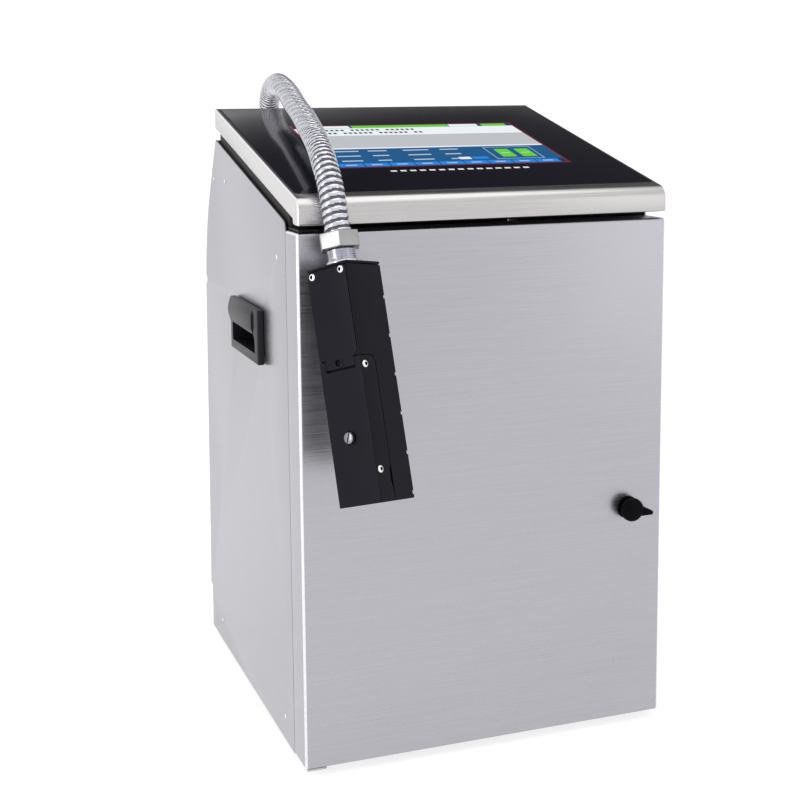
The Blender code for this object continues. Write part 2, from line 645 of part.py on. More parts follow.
def ink_hoses():
    """Hoses from the pump to the filter's lid and from the pump to the valve manifold."""
    to_filter = [(258, 195.4, 34), (258, 182, 34.5), (262, 160, 46), (272, 144, 74), (276, 130, 100),
                 (276, 112, 114), (276, 97, 109), (276, 92, 94.8)]
    to_valves = [(288, 195.4, 34), (288, 180, 35), (292, 166, 60), (286, 182, 116), (262, 226, 172),
                 (234, 272, 206), (214, 302, 222), (202, 317, 227), (191.6, 320, 227)]
    for name, route in (("filter_hose", to_filter), ("valve_hose", to_valves)):
        tube(name, smooth_curve(route, 12), 3.0, WHITE_PLASTIC, CABINET)


# ---------------------------------------------------------------- electronics and rear fittings

def power_supply():
    box("power_supply", (34, 110, SHELF_TOP), (148, 300, SHELF_TOP + 38), ZINC, bevel=1.0)


def controller_board():
    """The main board on its standoffs, with its processor's heat sink, memory and plug headers."""
    level = SHELF_TOP + 6
    board = box("controller_board", (168, 90, level), (312, 290, level + 1.6), GREEN_BOARD)
    for x in (174, 306):
        for y in (112, 284):
            join(board, cylinder("standoff", (x, y, SHELF_TOP), 3, 6.5, "Z", GREEN_BOARD, sides=8))
    join(board, box("heat_sink", (200, 170, level + 1), (250, 220, level + 19), GREEN_BOARD))
    for index in range(4):
        low = (176 + 34 * index, 94, level + 1)
        join(board, box("header_%d" % index, low, (low[0] + 24, 103, level + 12), GREEN_BOARD))
    return join(board, box("memory", (268, 150, level + 1), (296, 230, level + 6), GREEN_BOARD))


def cooling_fan():
    """An 80 mm fan behind the grille: a square housing and a rotor with swept blades."""
    housing = box("fan_housing", (-40, -25, -40), (40, 0, 40), BLACK_PLASTIC, FAN, bevel=1.5)
    cut(housing, cylinder("fan_duct", (0, -30, 0), 38, 40, "Y", BLACK_PLASTIC, FAN, sides=32))
    for angle in (45, 135, 225, 315):
        strut = box("fan_strut_%d" % angle, (0, -24.6, -1.5), (39, -22.0, 1.5), BLACK_PLASTIC, FAN)
        strut.data.transform(Matrix.Translation(Vector((19.5, 0, 0)) * MM))
        strut.location.x = 0
        strut.rotation_euler = (0, radians(angle), 0)
        join(housing, strut)
    rotor = cylinder("fan_rotor", (0, -21, 0), 14, 17, "Y", BLACK_PLASTIC, FAN, sides=20)
    for index in range(FAN_BLADES):
        blade = box("blade_%d" % index, (-12, -6.0, -1), (12, 6.0, 1), BLACK_PLASTIC, FAN)
        blade.data.transform(Matrix.Translation(Vector((24, 0, 0)) * MM) @ Matrix.Rotation(radians(32), 4, "X"))
        blade.location = (0, -12.5 * MM, 0)
        blade.rotation_euler = (0, radians(360 * index / FAN_BLADES), 0)
        join(rotor, blade)
    return rotor


def power_module():
    """A shrouded appliance inlet with three pins, with the rocker switch's well above it."""
    y = REAR_PLATE
    module = box("power_module", (34, y + SHEET + GAP, 54), (73, y + SHEET + 3.5, 114), BLACK_PLASTIC, bevel=1.0)
    join(module, box("inlet_shell", (39, y - 18, 59), (68, y + 3, 111), BLACK_PLASTIC))
    cut(module, box("inlet_mouth", (42, y - 14, 62), (65, y + 8, 78), BLACK_PLASTIC))
    for x, z in ((47, 67), (60, 67), (53.5, 73)):
        join(module, box("inlet_pin", (x - 1, y - 15, z - 2), (x + 1, y - 1, z + 2), BLACK_PLASTIC))
    return cut(module, box("switch_well", (42, y - 8, 94), (65, y + 8, 107), BLACK_PLASTIC))


def power_switch():
    """The rocker, which tips about an axis across its well."""
    outline = arc((0, 0), 5.6, 110, 250, 6) + [(3.9, -4.8), (2.6, 0), (5.6, 4.8)]
    return plate("power_switch", [outline], 21.0, "YZ", (0, 0, 0), BLACK_PLASTIC, SWITCH)


def io_sockets():
    """Round signal sockets on one mounting strip, each under its screwed dust cap."""
    y = REAR_PLATE
    first, last = SOCKETS[0], SOCKETS[-1]
    strip = box("io_sockets", (first[0] - 13, y + SHEET + GAP, first[1] - 13),
                (last[0] + 13, y + SHEET + 2.2, last[1] + 13), NICKEL, bevel=0.4)
    for x, z in SOCKETS:
        profile = [(0, 14.0), (8.6, 14.0), (9.4, 13.0), (9.4, 6.0), (8.0, 6.0), (8.0, -8.0), (0, -8.0)]
        join(strip, turned("socket", profile, NICKEL, (x, y, z), "Y", sides=14))
    return strip


def rear_gland():
    x, z = GLAND_CENTRE
    body = turned("rear_gland", [(11.0, 27.6), (15.0, 26.0), (16.5, 20.0), (16.5, SHEET + GAP), (13.0, SHEET + GAP),
                                 (13.0, -8.0), (11.0, -8.0), (11.0, 27.6)], NICKEL, (x, REAR_PLATE, z), "Y", sides=20)
    return body


# ---------------------------------------------------------------- umbilical

FLOOR = -FOOT_HEIGHT
COIL_PITCH = HOSE_DIAMETER + 0.3
COIL_BASE = FLOOR + COIL_LIFT + HOSE_DIAMETER / 2

TAIL_POINTS = [(290.0, 361.9, 48.0), (290.0, 378.0, 48.0), (293.4, 403.0, 47.6), (303.0, 427.5, 47.0)]
RISE_POINTS = [(93.0, 486.0, 3.8), (93.0, 453.0, 10.5), (93.0, 424.5, 28.5), (93.0, 406.0, 56.0),
               (93.0, 400.0, 90.0), (93.0, 400.0, 170.0), (93.0, 400.0, 270.0), (93.0, 400.0, 370.0),
               (93.0, 400.0, 435.0), (91.0, 399.5, 477.0), (86.0, 393.0, 509.5), (79.0, 375.0, 537.0),
               (74.0, 347.5, 555.5), (72.0, 315.0, 562.0), (72.5, 292.0, 559.0), (73.0, 270.0, 552.5),
               (71.0, 240.0, 542.5), (66.5, 200.0, 531.0), (59.5, 145.0, 518.0), (52.0, 115.0, 515.5),
               (42.5, 80.0, 514.0), (34.0, 45.0, 510.0), (29.5, 23.0, 504.0), (27.2, 7.5, 495.5),
               (26.4, -5.5, 484.0)]
HANGING_POINTS = [(26.0, -15.8, 469.8), (26.2, -22.5, 454.3), (26.6, -25.3, 446.7)]


def coil_points():
    """The coil from its top turn down to the floor, each turn a layer below the last."""
    points = []
    steps = round(COIL_TURNS * 12)
    for step in range(steps, -1, -1):
        turns = step / 12
        ramp = min(max((turns % 1 - 0.68) / 0.16, 0.0), 1.0)
        layer = int(turns) + ramp * ramp * (3 - 2 * ramp)
        angle = pi - 2 * pi * turns
        points.append((COIL_CENTRE[0] + COIL_RADIUS * cos(angle), COIL_CENTRE[1] + COIL_RADIUS * sin(angle),
                       COIL_BASE + COIL_PITCH * layer))
    return points


def smooth_curve(points, spacing, first=0, last=None):
    """Points about a spacing apart on the natural cubic spline through the given points."""
    knots = np.array(points, float)
    steps = np.linalg.norm(np.diff(knots, axis=0), axis=1)
    count = len(knots)
    last = count - 1 if last is None else last
    system = np.eye(count)
    target = np.zeros((count, 3))
    for i in range(1, count - 1):
        before, after = steps[i - 1], steps[i]
        system[i, i - 1:i + 2] = before, 2 * (before + after), after
        target[i] = 6 * ((knots[i + 1] - knots[i]) / after - (knots[i] - knots[i - 1]) / before)
    bend = np.linalg.solve(system, target)
    made = []
    for i in range(first, last):
        pieces = max(1, ceil(steps[i] / spacing))
        for piece in range(pieces + (i == last - 1)):
            t = piece / pieces
            weights = ((1 - t) ** 3 - (1 - t), t ** 3 - t)
            made.append((1 - t) * knots[i] + t * knots[i + 1]
                        + steps[i] ** 2 / 6 * (weights[0] * bend[i] + weights[1] * bend[i + 1]))
    return made


def tube(name, points, radius, finish, place, body=None):
    """A round cord: a POLY spline with a bevel and filled caps."""
    curve = bpy.data.curves.new(name, "CURVE")
    curve.dimensions = "3D"
    curve.bevel_depth = radius * MM
    curve.bevel_resolution = 2
    curve.use_fill_caps = True
    spline = curve.splines.new("POLY")
    spline.points.add(len(points) - 1)
    for point, co in zip(spline.points, points):
        point.co = (*(Vector(co) * MM), 1)
    return add(name, curve, finish, place, body)


def shifted_end(points, distance, at_start):
    """Move one end of a point list inwards along the cord, to leave a gap to its neighbour."""
    moved = [Vector(point) for point in points]
    end, inner = (0, 1) if at_start else (-1, -2)
    moved[end] += (moved[inner] - moved[end]).normalized() * distance
    return moved


def umbilical():
    """Three tubes and a ring: gland to coil, coil to lid, and the stretch that swings with the head."""
    coil = coil_points()
    route = TAIL_POINTS + coil + RISE_POINTS + HANGING_POINTS
    rise_start = len(TAIL_POINTS) + len(coil) + 2
    ring_clearance = 6.0
    bend_gap = 1.1            # the tubes' end faces meet at a slight angle where the cord bends
    split = len(TAIL_POINTS) + len(coil) + len(RISE_POINTS) - 1
    spacing = 2.2 * HOSE_DIAMETER
    radius = HOSE_DIAMETER / 2
    tail = smooth_curve(route, spacing, 0, 1)
    tube("umbilical_tail", shifted_end(tail, GAP, True), radius, CONDUIT, CABINET)
    rise = shifted_end(smooth_curve(route, spacing, rise_start, split), bend_gap, False)
    tube("umbilical_rise", shifted_end(rise, ring_clearance, True), radius, CONDUIT, CABINET)
    hanging = smooth_curve(route, spacing, split, len(route) - 1)
    hanging = shifted_end(shifted_end(hanging, bend_gap, True), GAP, False)
    tube("umbilical_hanging", hanging, radius, CONDUIT, CABINET, HEAD_SWING)
    inner, outer = COIL_RADIUS - radius, COIL_RADIUS + radius
    low, high = FLOOR + COIL_LIFT, FLOOR + COIL_LIFT + HOSE_DIAMETER + 2 * COIL_PITCH
    soft = 4.0
    section = [(inner + soft, high), (outer - soft, high), (outer, high - soft), (outer, low + soft),
               (outer - soft, low), (inner + soft, low), (inner, low + soft), (inner, high - soft),
               (inner + soft, high)]
    turned("umbilical_coil", section, CONDUIT, (*COIL_CENTRE, 0), "Z", sides=28)


def coil_tie():
    """A strap round the coil's bundle, at the back of the ring."""
    radius = HOSE_DIAMETER / 2
    curve_room = 1.2
    inner = (COIL_CENTRE[1] + COIL_RADIUS - radius - curve_room, FLOOR + COIL_LIFT - GAP)
    outer = (COIL_CENTRE[1] + COIL_RADIUS + radius + GAP, FLOOR + COIL_LIFT + HOSE_DIAMETER + 2 * COIL_PITCH + GAP)
    thick = COIL_LIFT - GAP
    strap = rounded((inner[0] - thick, inner[1] - thick), (outer[0] + thick, outer[1] + thick), 3)
    plate("coil_tie", [strap, rounded(inner, outer, 1.8)], 14.0, "YZ", (COIL_CENTRE[0], 0, 0), RUBBER)


# ---------------------------------------------------------------- assembly

def build():
    side_panels()
    front_frame()
    base_pan()
    rear_panel()
    rear_top_cover()
    component_shelf()
    lid_collar()
    lid_rim()
    screen_glass()
    display_module()
    side_handle("left_handle", -1)
    side_handle("right_handle", 1)
    feet()
    hinge_brackets()
    door_pan()
    door_liner()
    door_seal()
    latch()
    head_spine()
    head_upper_cover()
    head_end_cap()
    head_lower_cover()
    cover_thumb_screw()
    gland()
    jet_train()
    tank("ink_tank", 34, INK_NECK)
    tank_cap("ink_tank_cap", INK_NECK, BLACK_PLASTIC)
    tank("makeup_tank", 136, MAKEUP_NECK)
    tank_cap("makeup_tank_cap", MAKEUP_NECK, RUBBER)
    main_filter()
    ink_pump()
    valve_block()
    ink_hoses()
    power_supply()
    controller_board()
    cooling_fan()
    power_module()
    power_switch()
    io_sockets()
    rear_gland()
    umbilical()
    coil_tie()


build()
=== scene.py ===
"""Looks of the inkjet date coder: stainless cabinet, screen lid, black printhead and steel conduit."""
import json
from math import ceil, cos, pi, radians, sin

import bmesh
import bpy
import numpy as np
from mathutils import Euler, Matrix, Vector

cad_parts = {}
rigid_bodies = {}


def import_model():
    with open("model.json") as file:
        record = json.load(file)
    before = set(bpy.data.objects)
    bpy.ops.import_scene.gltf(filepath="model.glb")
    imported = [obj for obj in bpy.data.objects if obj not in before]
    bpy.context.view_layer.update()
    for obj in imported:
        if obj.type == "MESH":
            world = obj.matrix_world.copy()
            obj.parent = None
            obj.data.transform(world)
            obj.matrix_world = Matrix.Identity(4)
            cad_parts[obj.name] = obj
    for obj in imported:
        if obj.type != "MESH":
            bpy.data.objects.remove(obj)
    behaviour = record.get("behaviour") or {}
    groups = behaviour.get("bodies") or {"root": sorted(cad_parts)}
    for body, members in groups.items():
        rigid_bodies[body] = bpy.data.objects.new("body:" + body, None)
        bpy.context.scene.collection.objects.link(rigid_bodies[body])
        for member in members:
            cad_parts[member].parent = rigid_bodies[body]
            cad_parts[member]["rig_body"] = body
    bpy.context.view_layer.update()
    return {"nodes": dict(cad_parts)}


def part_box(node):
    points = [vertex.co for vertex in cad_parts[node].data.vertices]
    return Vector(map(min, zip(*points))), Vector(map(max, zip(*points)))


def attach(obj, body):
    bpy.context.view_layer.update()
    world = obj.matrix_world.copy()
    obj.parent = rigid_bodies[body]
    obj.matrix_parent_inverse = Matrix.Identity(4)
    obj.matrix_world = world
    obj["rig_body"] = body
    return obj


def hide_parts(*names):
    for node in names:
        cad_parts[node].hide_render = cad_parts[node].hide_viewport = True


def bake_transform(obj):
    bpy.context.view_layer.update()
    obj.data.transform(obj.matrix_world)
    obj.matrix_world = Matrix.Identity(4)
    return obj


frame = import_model()
NODES = frame["nodes"]

# ---------------------------------------------------------------- sizes, in millimetres, and frames

MM = 0.001
DOOR_LOW, DOOR_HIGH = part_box("door_pan")
WIDTH, DOOR_DEPTH, DOOR_HEIGHT = (DOOR_HIGH - DOOR_LOW) / MM
FLOOR = -DOOR_LOW.z / MM      # the floor's height in the cabinet frame
SHEET = 1.5
GAP = 0.3

CABINET = Matrix.Translation(DOOR_LOW)


def placed(location, rotation=(0, 0, 0), order="XYZ"):
    """A frame on the cabinet, from a place in millimetres and turns in degrees."""
    turn = Euler([radians(angle) for angle in rotation], order).to_matrix().to_4x4()
    return CABINET @ Matrix.Translation(Vector(location) * MM) @ turn


LID_SLOPE = 13.48
GLASS_FRONT = (15.0, 474.9)
GLASS_LENGTH = 273.4
GLASS_SIDES = (3.9, 326.0)
LID_PLANE = placed((0, *GLASS_FRONT), (LID_SLOPE, 0, 0))
HEAD = placed((27.5, -33.4, 422.0), (-18.2, -2.2, -56.7), "ZXY")
HEAD_LENGTH = 182.3
HALF = 20.25

# ---------------------------------------------------------------- camera and lights

CAMERA_PLACE = (-299.2, -1065.7, 556.0)
CAMERA_YAW, CAMERA_PITCH, CAMERA_ROLL = radians(19.88), radians(7.65), radians(-0.47)


def camera():
    """A camera at the photograph's place, looking to the right and a little down."""
    ahead = Vector((sin(CAMERA_YAW), cos(CAMERA_YAW), 0))
    right = Vector((cos(CAMERA_YAW), -sin(CAMERA_YAW), 0))
    up = Vector((0, 0, 1))
    forward = cos(CAMERA_PITCH) * ahead - sin(CAMERA_PITCH) * up
    above = cos(CAMERA_PITCH) * up + sin(CAMERA_PITCH) * ahead
    side = cos(CAMERA_ROLL) * right + sin(CAMERA_ROLL) * above
    above = -sin(CAMERA_ROLL) * right + cos(CAMERA_ROLL) * above
    data = bpy.data.cameras.new("camera")
    data.lens = 63.78
    data.shift_y = -0.15
    made = bpy.data.objects.new("camera", data)
    bpy.context.scene.collection.objects.link(made)
    made.matrix_world = Matrix.Translation(CABINET @ (Vector(CAMERA_PLACE) * MM)) @ Matrix(
        (side, above, -forward)).transposed().to_4x4()
    bpy.context.scene.camera = made


def area_light(name, location, target, size, power, colour=(1, 1, 1)):
    data = bpy.data.lights.new(name, "AREA")
    data.shape = "RECTANGLE"
    data.size, data.size_y = size
    data.energy = power
    data.color = colour
    made = bpy.data.objects.new(name, data)
    bpy.context.scene.collection.objects.link(made)
    made.location = location
    made.rotation_euler = (Vector(target) - Vector(location)).to_track_quat("-Z", "Y").to_euler()


DIM_PATCH = (0.38, 0.72, 0.58)     # towards the part of the room that the sloped glass mirrors
# cosine of the angle to the patch's centre, and the brightness there
SURROUND = [(0.0, 1.0), (0.86, 1.0), (0.93, 0.2), (0.965, 0.06), (1.0, 0.04)]


def studio():
    """A white room with one dim patch high behind the object, and three soft boxes."""
    world = bpy.data.worlds.new("studio")
    bpy.context.scene.world = world
    world.use_nodes = True
    tree = world.node_tree
    tree.nodes["Background"].inputs["Strength"].default_value = 1.08
    coordinates = tree.nodes.new("ShaderNodeTexCoord")
    towards = tree.nodes.new("ShaderNodeVectorMath")
    towards.operation = "DOT_PRODUCT"
    towards.inputs[1].default_value = Vector(DIM_PATCH).normalized()
    ramp = tree.nodes.new("ShaderNodeValToRGB")
    for position, level in SURROUND[1:-1]:
        ramp.color_ramp.elements.new(position)
    for element, (position, level) in zip(ramp.color_ramp.elements, SURROUND):
        element.position = position
        element.color = (level, level, level, 1)
    tree.links.new(coordinates.outputs["Generated"], towards.inputs[0])
    tree.links.new(towards.outputs["Value"], ramp.inputs["Fac"])
    tree.links.new(ramp.outputs["Color"], tree.nodes["Background"].inputs["Color"])
    area_light("left_box", (-2.2, -0.7, 0.7), (0, 0, 0.3), (0.5, 2.2), 26)
    area_light("top_box", (0.2, -0.3, 2.4), (0, 0, 0.3), (2.0, 1.6), 9)
    area_light("right_box", (1.7, -2.0, 0.8), (0, 0, 0.3), (0.8, 1.6), 2.0)
    bpy.context.scene.view_settings.view_transform = "Standard"


def floor_plane():
    mesh = bpy.data.meshes.new("floor")
    mesh.from_pydata([(-6, -6, 0), (6, -6, 0), (6, 6, 0), (-6, 6, 0)], [], [(0, 1, 2, 3)])
    made = bpy.data.objects.new("floor", mesh)
    bpy.context.scene.collection.objects.link(made)
    paint = plastic("floor_paint", (0.36, 0.36, 0.36), 0.9, grain=0.0, Specular_IOR_Level=0.0)
    shader = paint.node_tree.nodes["Principled BSDF"]
    shader.inputs["Emission Color"].default_value = (1, 1, 1, 1)
    shader.inputs["Emission Strength"].default_value = 0.72
    mesh.materials.append(paint)


# ---------------------------------------------------------------- materials

def material(name, colour, roughness, metallic=0.0, **sockets):
    """A Principled material with its constants set on the shader's own sockets."""
    made = bpy.data.materials.new(name)
    made.use_nodes = True
    shader = made.node_tree.nodes["Principled BSDF"]
    shader.inputs["Base Color"].default_value = (*colour, 1)
    shader.inputs["Roughness"].default_value = roughness
    shader.inputs["Metallic"].default_value = metallic
    for socket, value in sockets.items():
        shader.inputs[socket.replace("_", " ")].default_value = value
    return made


def noise(made, stretch, detail=2.0):
    """Noise on object coordinates; stretch is its frequency along each axis, per metre."""
    tree = made.node_tree
    coordinates = tree.nodes.new("ShaderNodeTexCoord")
    mapping = tree.nodes.new("ShaderNodeMapping")
    mapping.inputs["Scale"].default_value = stretch
    texture = tree.nodes.new("ShaderNodeTexNoise")
    texture.inputs["Scale"].default_value = 1.0
    texture.inputs["Detail"].default_value = detail
    tree.links.new(coordinates.outputs["Object"], mapping.inputs["Vector"])
    tree.links.new(mapping.outputs["Vector"], texture.inputs["Vector"])
    return texture.outputs["Fac"]


def drive_roughness(made, value, low, high):
    tree = made.node_tree
    spread = tree.nodes.new("ShaderNodeMapRange")
    spread.inputs["From Min"].default_value = 0.3
    spread.inputs["From Max"].default_value = 0.7
    spread.inputs["To Min"].default_value = low
    spread.inputs["To Max"].default_value = high
    tree.links.new(value, spread.inputs["Value"])
    tree.links.new(spread.outputs["Result"], tree.nodes["Principled BSDF"].inputs["Roughness"])


def drive_colour(made, value, dark, light):
    tree = made.node_tree
    ramp = tree.nodes.new("ShaderNodeValToRGB")
    ramp.color_ramp.elements[0].position = 0.3
    ramp.color_ramp.elements[0].color = (*dark, 1)
    ramp.color_ramp.elements[1].position = 0.7
    ramp.color_ramp.elements[1].color = (*light, 1)
    tree.links.new(value, ramp.inputs["Fac"])
    tree.links.new(ramp.outputs["Color"], tree.nodes["Principled BSDF"].inputs["Base Color"])


def drive_bump(made, value, strength, distance):
    tree = made.node_tree
    bump = tree.nodes.new("ShaderNodeBump")
    bump.inputs["Strength"].default_value = strength
    bump.inputs["Distance"].default_value = distance
    tree.links.new(value, bump.inputs["Height"])
    tree.links.new(bump.outputs["Normal"], tree.nodes["Principled BSDF"].inputs["Normal"])


def shade(colour, factor):
    return tuple(min(1.0, channel * factor) for channel in colour)


ACROSS = 2400.0               # brush lines per metre, roughly


def brushed(name, colour, roughness, along, contrast=0.05):
    """Brushed stainless: fine lines along one axis, with slow changes of tone over the sheet."""
    made = material(name, colour, roughness, 1.0)
    stretch = [ACROSS if axis != along else 14.0 for axis in "XYZ"]
    lines = noise(made, stretch, 3.0)
    drive_roughness(made, lines, roughness - 0.05, roughness + 0.07)
    drive_colour(made, lines, shade(colour, 1 - contrast), shade(colour, 1 + contrast))
    drive_bump(made, lines, 0.12, 0.00004)
    return made


def plastic(name, colour, roughness, grain=0.25, **sockets):
    """Moulded plastic, paint or anodised metal with a fine eroded grain."""
    made = material(name, colour, roughness, **sockets)
    value = noise(made, (1900.0,) * 3, 4.0)
    drive_roughness(made, value, roughness - 0.05, roughness + 0.08)
    cloud = noise(made, (22.0,) * 3, 3.0)
    drive_colour(made, cloud, shade(colour, 0.93), shade(colour, 1.07))
    if grain:
        drive_bump(made, value, grain, 0.00008)
    return made


def plated(name, colour, roughness):
    """Plated or polished metal with faint handling marks."""
    made = material(name, colour, roughness, 1.0)
    marks = noise(made, (420.0, 420.0, 260.0), 5.0)
    drive_roughness(made, marks, roughness - 0.04, roughness + 0.12)
    drive_colour(made, marks, shade(colour, 0.94), shade(colour, 1.05))
    drive_bump(made, marks, 0.05, 0.00005)
    return made


def lit(name, colour, strength):
    """A lit area of the screen, behind the same polished glass as the rest."""
    made = material(name, (0.006, 0.006, 0.01), 0.1, Specular_IOR_Level=0.35)
    value = noise(made, (3000.0,) * 3, 1.0)
    drive_roughness(made, value, 0.08, 0.13)
    shader = made.node_tree.nodes["Principled BSDF"]
    shader.inputs["Emission Color"].default_value = (*colour, 1)
    shader.inputs["Emission Strength"].default_value = strength
    return made


DOOR_STEEL = brushed("door_brushed_stainless", (0.425, 0.42, 0.457), 0.3, "X")
SIDE_STEEL = brushed("side_brushed_stainless", (0.435, 0.43, 0.465), 0.32, "Y")
# painted highlight: a brighter steel on the bends between the faces
BEND_HIGHLIGHT_STEEL = plated("bend_painted_highlight", (0.8, 0.8, 0.84), 0.24)
LID_STEEL = brushed("lid_brushed_stainless", (0.5, 0.485, 0.485), 0.26, "X", 0.07)
# the lid's sides: brushed along Y, and a brighter copy of the lid's steel, painted light
LID_SIDE_LIT_STEEL = brushed("lid_side_stainless_painted_light", (0.66, 0.645, 0.645), 0.3, "Y", 0.03)
INNER_STEEL = brushed("inner_stainless", (0.5, 0.5, 0.52), 0.38, "X")
GLASS = plastic("black_printed_glass", (0.006, 0.0055, 0.011), 0.1, 0.0, Specular_IOR_Level=0.35)
HEAD_BLACK = plastic("black_anodised", (0.0035, 0.0035, 0.0075), 0.46, 0.2, Specular_IOR_Level=0.1)
BLACK_PLASTIC = plastic("black_moulding", (0.004, 0.004, 0.007), 0.4, 0.2, Specular_IOR_Level=0.28)
KNOB_PLASTIC = plastic("black_knob", (0.0015, 0.0015, 0.0025), 0.4, 0.1, Specular_IOR_Level=0.05)
RUBBER = plastic("black_rubber", (0.012, 0.012, 0.013), 0.75, 0.4)
# painted shade: a flat black for recesses, slots, sockets and the hole round the tab's pin
PAINTED_SHADE_BLACK = plastic("painted_shade_black", (0.003, 0.003, 0.004), 0.8, 0.0, Specular_IOR_Level=0.1)
NICKEL = plated("nickel_plate", (0.78, 0.77, 0.74), 0.26)
SCREW_STEEL = plated("screw_steel", (0.82, 0.82, 0.82), 0.2)
CHROME = plated("conduit_steel", (0.6, 0.6, 0.645), 0.15)
# painted shade: a dark steel for the faces deep in the conduit's grooves
GROOVE_SHADE_STEEL = plated("conduit_groove_painted_shade", (0.1, 0.1, 0.125), 0.35)
# painted shade: black for the hinge bracket that sits in the shadowed gap under the lid
GAP_SHADE_BLACK = plastic("gap_shade_black_steel", (0.006, 0.006, 0.008), 0.5, 0.2, Specular_IOR_Level=0.2)
DULL_STEEL = plated("dull_screw", (0.24, 0.24, 0.27), 0.34)
POLYETHYLENE = plastic("tank_polyethylene", (0.8, 0.81, 0.77), 0.45, 0.15, Subsurface_Weight=0.1)
HOSE_PLASTIC = plastic("clear_hose", (0.55, 0.6, 0.62), 0.25, 0.0)
BOARD_GREEN = plastic("solder_mask", (0.01, 0.13, 0.05), 0.35, 0.3)
ZINC = plated("zinc_cast", (0.5, 0.51, 0.53), 0.36)
NUT_METAL = plated("nut_metal", (0.34, 0.345, 0.34), 0.36)
PRINT_WHITE = plastic("printed_white", (0.78, 0.78, 0.8), 0.4, 0.0)
SCREEN_RED = lit("screen_red", (0.19, 0.005, 0.01), 1.0)
SCREEN_NAVY = lit("screen_navy", (0.0, 0.03, 0.1), 1.0)
SCREEN_BLUE = lit("screen_blue", (0.003, 0.09, 0.24), 1.0)
SCREEN_WHITE = lit("screen_white", (0.82, 0.87, 0.9), 1.0)
SCREEN_GREY = lit("screen_grey", (0.5, 0.52, 0.55), 1.0)
SCREEN_GREEN = lit("screen_green", (0.13, 0.62, 0.02), 1.0)
SCREEN_INK = lit("screen_ink", (0.06, 0.07, 0.09), 1.0)
SCREEN_PALE = lit("screen_pale", (0.45, 0.56, 0.66), 1.0)
SCREEN_BUTTON = lit("screen_button", (0.005, 0.24, 0.75), 1.0)

# ---------------------------------------------------------------- mesh helpers


def new_piece(name, work):
    mesh = bpy.data.meshes.new(name)
    bmesh.ops.recalc_face_normals(work, faces=work.faces)
    work.to_mesh(mesh)
    work.free()
    made = bpy.data.objects.new(name, mesh)
    bpy.context.scene.collection.objects.link(made)
    return made


def settled(made):
    """Apply an object's modifiers to its mesh."""
    bpy.context.view_layer.update()
    evaluated = made.evaluated_get(bpy.context.evaluated_depsgraph_get())
    mesh = bpy.data.meshes.new_from_object(evaluated)
    made.modifiers.clear()
    made.data = mesh
    return made


def bevelled(made, width, segments=3, angle=40):
    modifier = made.modifiers.new("bevel", "BEVEL")
    modifier.width = width * MM
    modifier.segments = segments
    modifier.limit_method = "ANGLE"
    modifier.angle_limit = radians(angle)
    return settled(made)


def carve(target, *tools, operation="DIFFERENCE"):
    """Cut tools out of a target, or join them to it, and remove them."""
    for tool in tools:
        modifier = target.modifiers.new("carve", "BOOLEAN")
        modifier.operation = operation
        modifier.object = tool
        settled(target)
        bpy.data.objects.remove(tool, do_unlink=True)
    return target


def block(low, high, bevel=0.0, segments=3):
    work = bmesh.new()
    bmesh.ops.create_cube(work, size=1.0)
    low, high = Vector(low), Vector(high)
    bmesh.ops.scale(work, vec=(high - low) * MM, verts=work.verts)
    bmesh.ops.translate(work, vec=(high + low) * MM / 2, verts=work.verts)
    made = new_piece("block", work)
    return bevelled(made, bevel, segments) if bevel else made


def prism(outline, low, high, axis="Z", bevel=0.0, segments=2):
    """A flat outline extruded along an axis. Its points are (y, z), (x, z) or (x, y) for X, Y and Z."""
    place = {"X": lambda a, b, c: (c, a, b),
             "Y": lambda a, b, c: (a, c, b),
             "Z": lambda a, b, c: (a, b, c)}[axis]
    work = bmesh.new()
    face = work.faces.new([work.verts.new(Vector(place(a, b, low)) * MM) for a, b in outline])
    up = Vector(place(0, 0, (high - low) * MM))
    grown = bmesh.ops.extrude_face_region(work, geom=[face])["geom"]
    bmesh.ops.translate(work, vec=up, verts=[v for v in grown if isinstance(v, bmesh.types.BMVert)])
    made = new_piece("prism", work)
    return bevelled(made, bevel, segments) if bevel else made


AXIS_TURNS = {"Z": Matrix.Identity(4), "Y": Matrix.Rotation(radians(-90), 4, "X"),
              "X": Matrix.Rotation(radians(90), 4, "Y")}


def lathe(profile, axis="Z", at=(0, 0, 0), sides=48):
    """A turned solid from (radius, height) points round an axis; a point at radius 0 closes an end."""
    work = bmesh.new()
    rings = []
    for radius, height in profile:
        if radius == 0:
            rings.append([work.verts.new((0, 0, height * MM))])
        else:
            rings.append([work.verts.new((radius * MM * cos(2 * pi * i / sides),
                                          radius * MM * sin(2 * pi * i / sides), height * MM))
                          for i in range(sides)])
    pairs = list(zip(rings, rings[1:]))
    if len(rings[0]) > 1:
        pairs.append((rings[-1], rings[0]))
    for lower, upper in pairs:
        for i in range(sides):
            j = (i + 1) % sides
            corners = [lower[i % len(lower)], lower[j % len(lower)],
                       upper[j % len(upper)], upper[i % len(upper)]]
            unique = list(dict.fromkeys(corners))
            if len(unique) > 2:
                work.faces.new(unique)
    made = new_piece("lathe", work)
    made.data.transform(Matrix.Translation(Vector(at) * MM) @ AXIS_TURNS[axis])
    return made


def arc(centre, radius, first, last, count):
    angles = [radians(first + (last - first) * step / count) for step in range(count + 1)]
    return [(centre[0] + radius * cos(angle), centre[1] + radius * sin(angle)) for angle in angles]


def rounded(low, high, radius, count=6):
    (left, bottom), (right, top) = low, high
    return (arc((right - radius, bottom + radius), radius, -90, 0, count)
            + arc((right - radius, top - radius), radius, 0, 90, count)
            + arc((left + radius, top - radius), radius, 90, 180, count)
            + arc((left + radius, bottom + radius), radius, 180, 270, count))


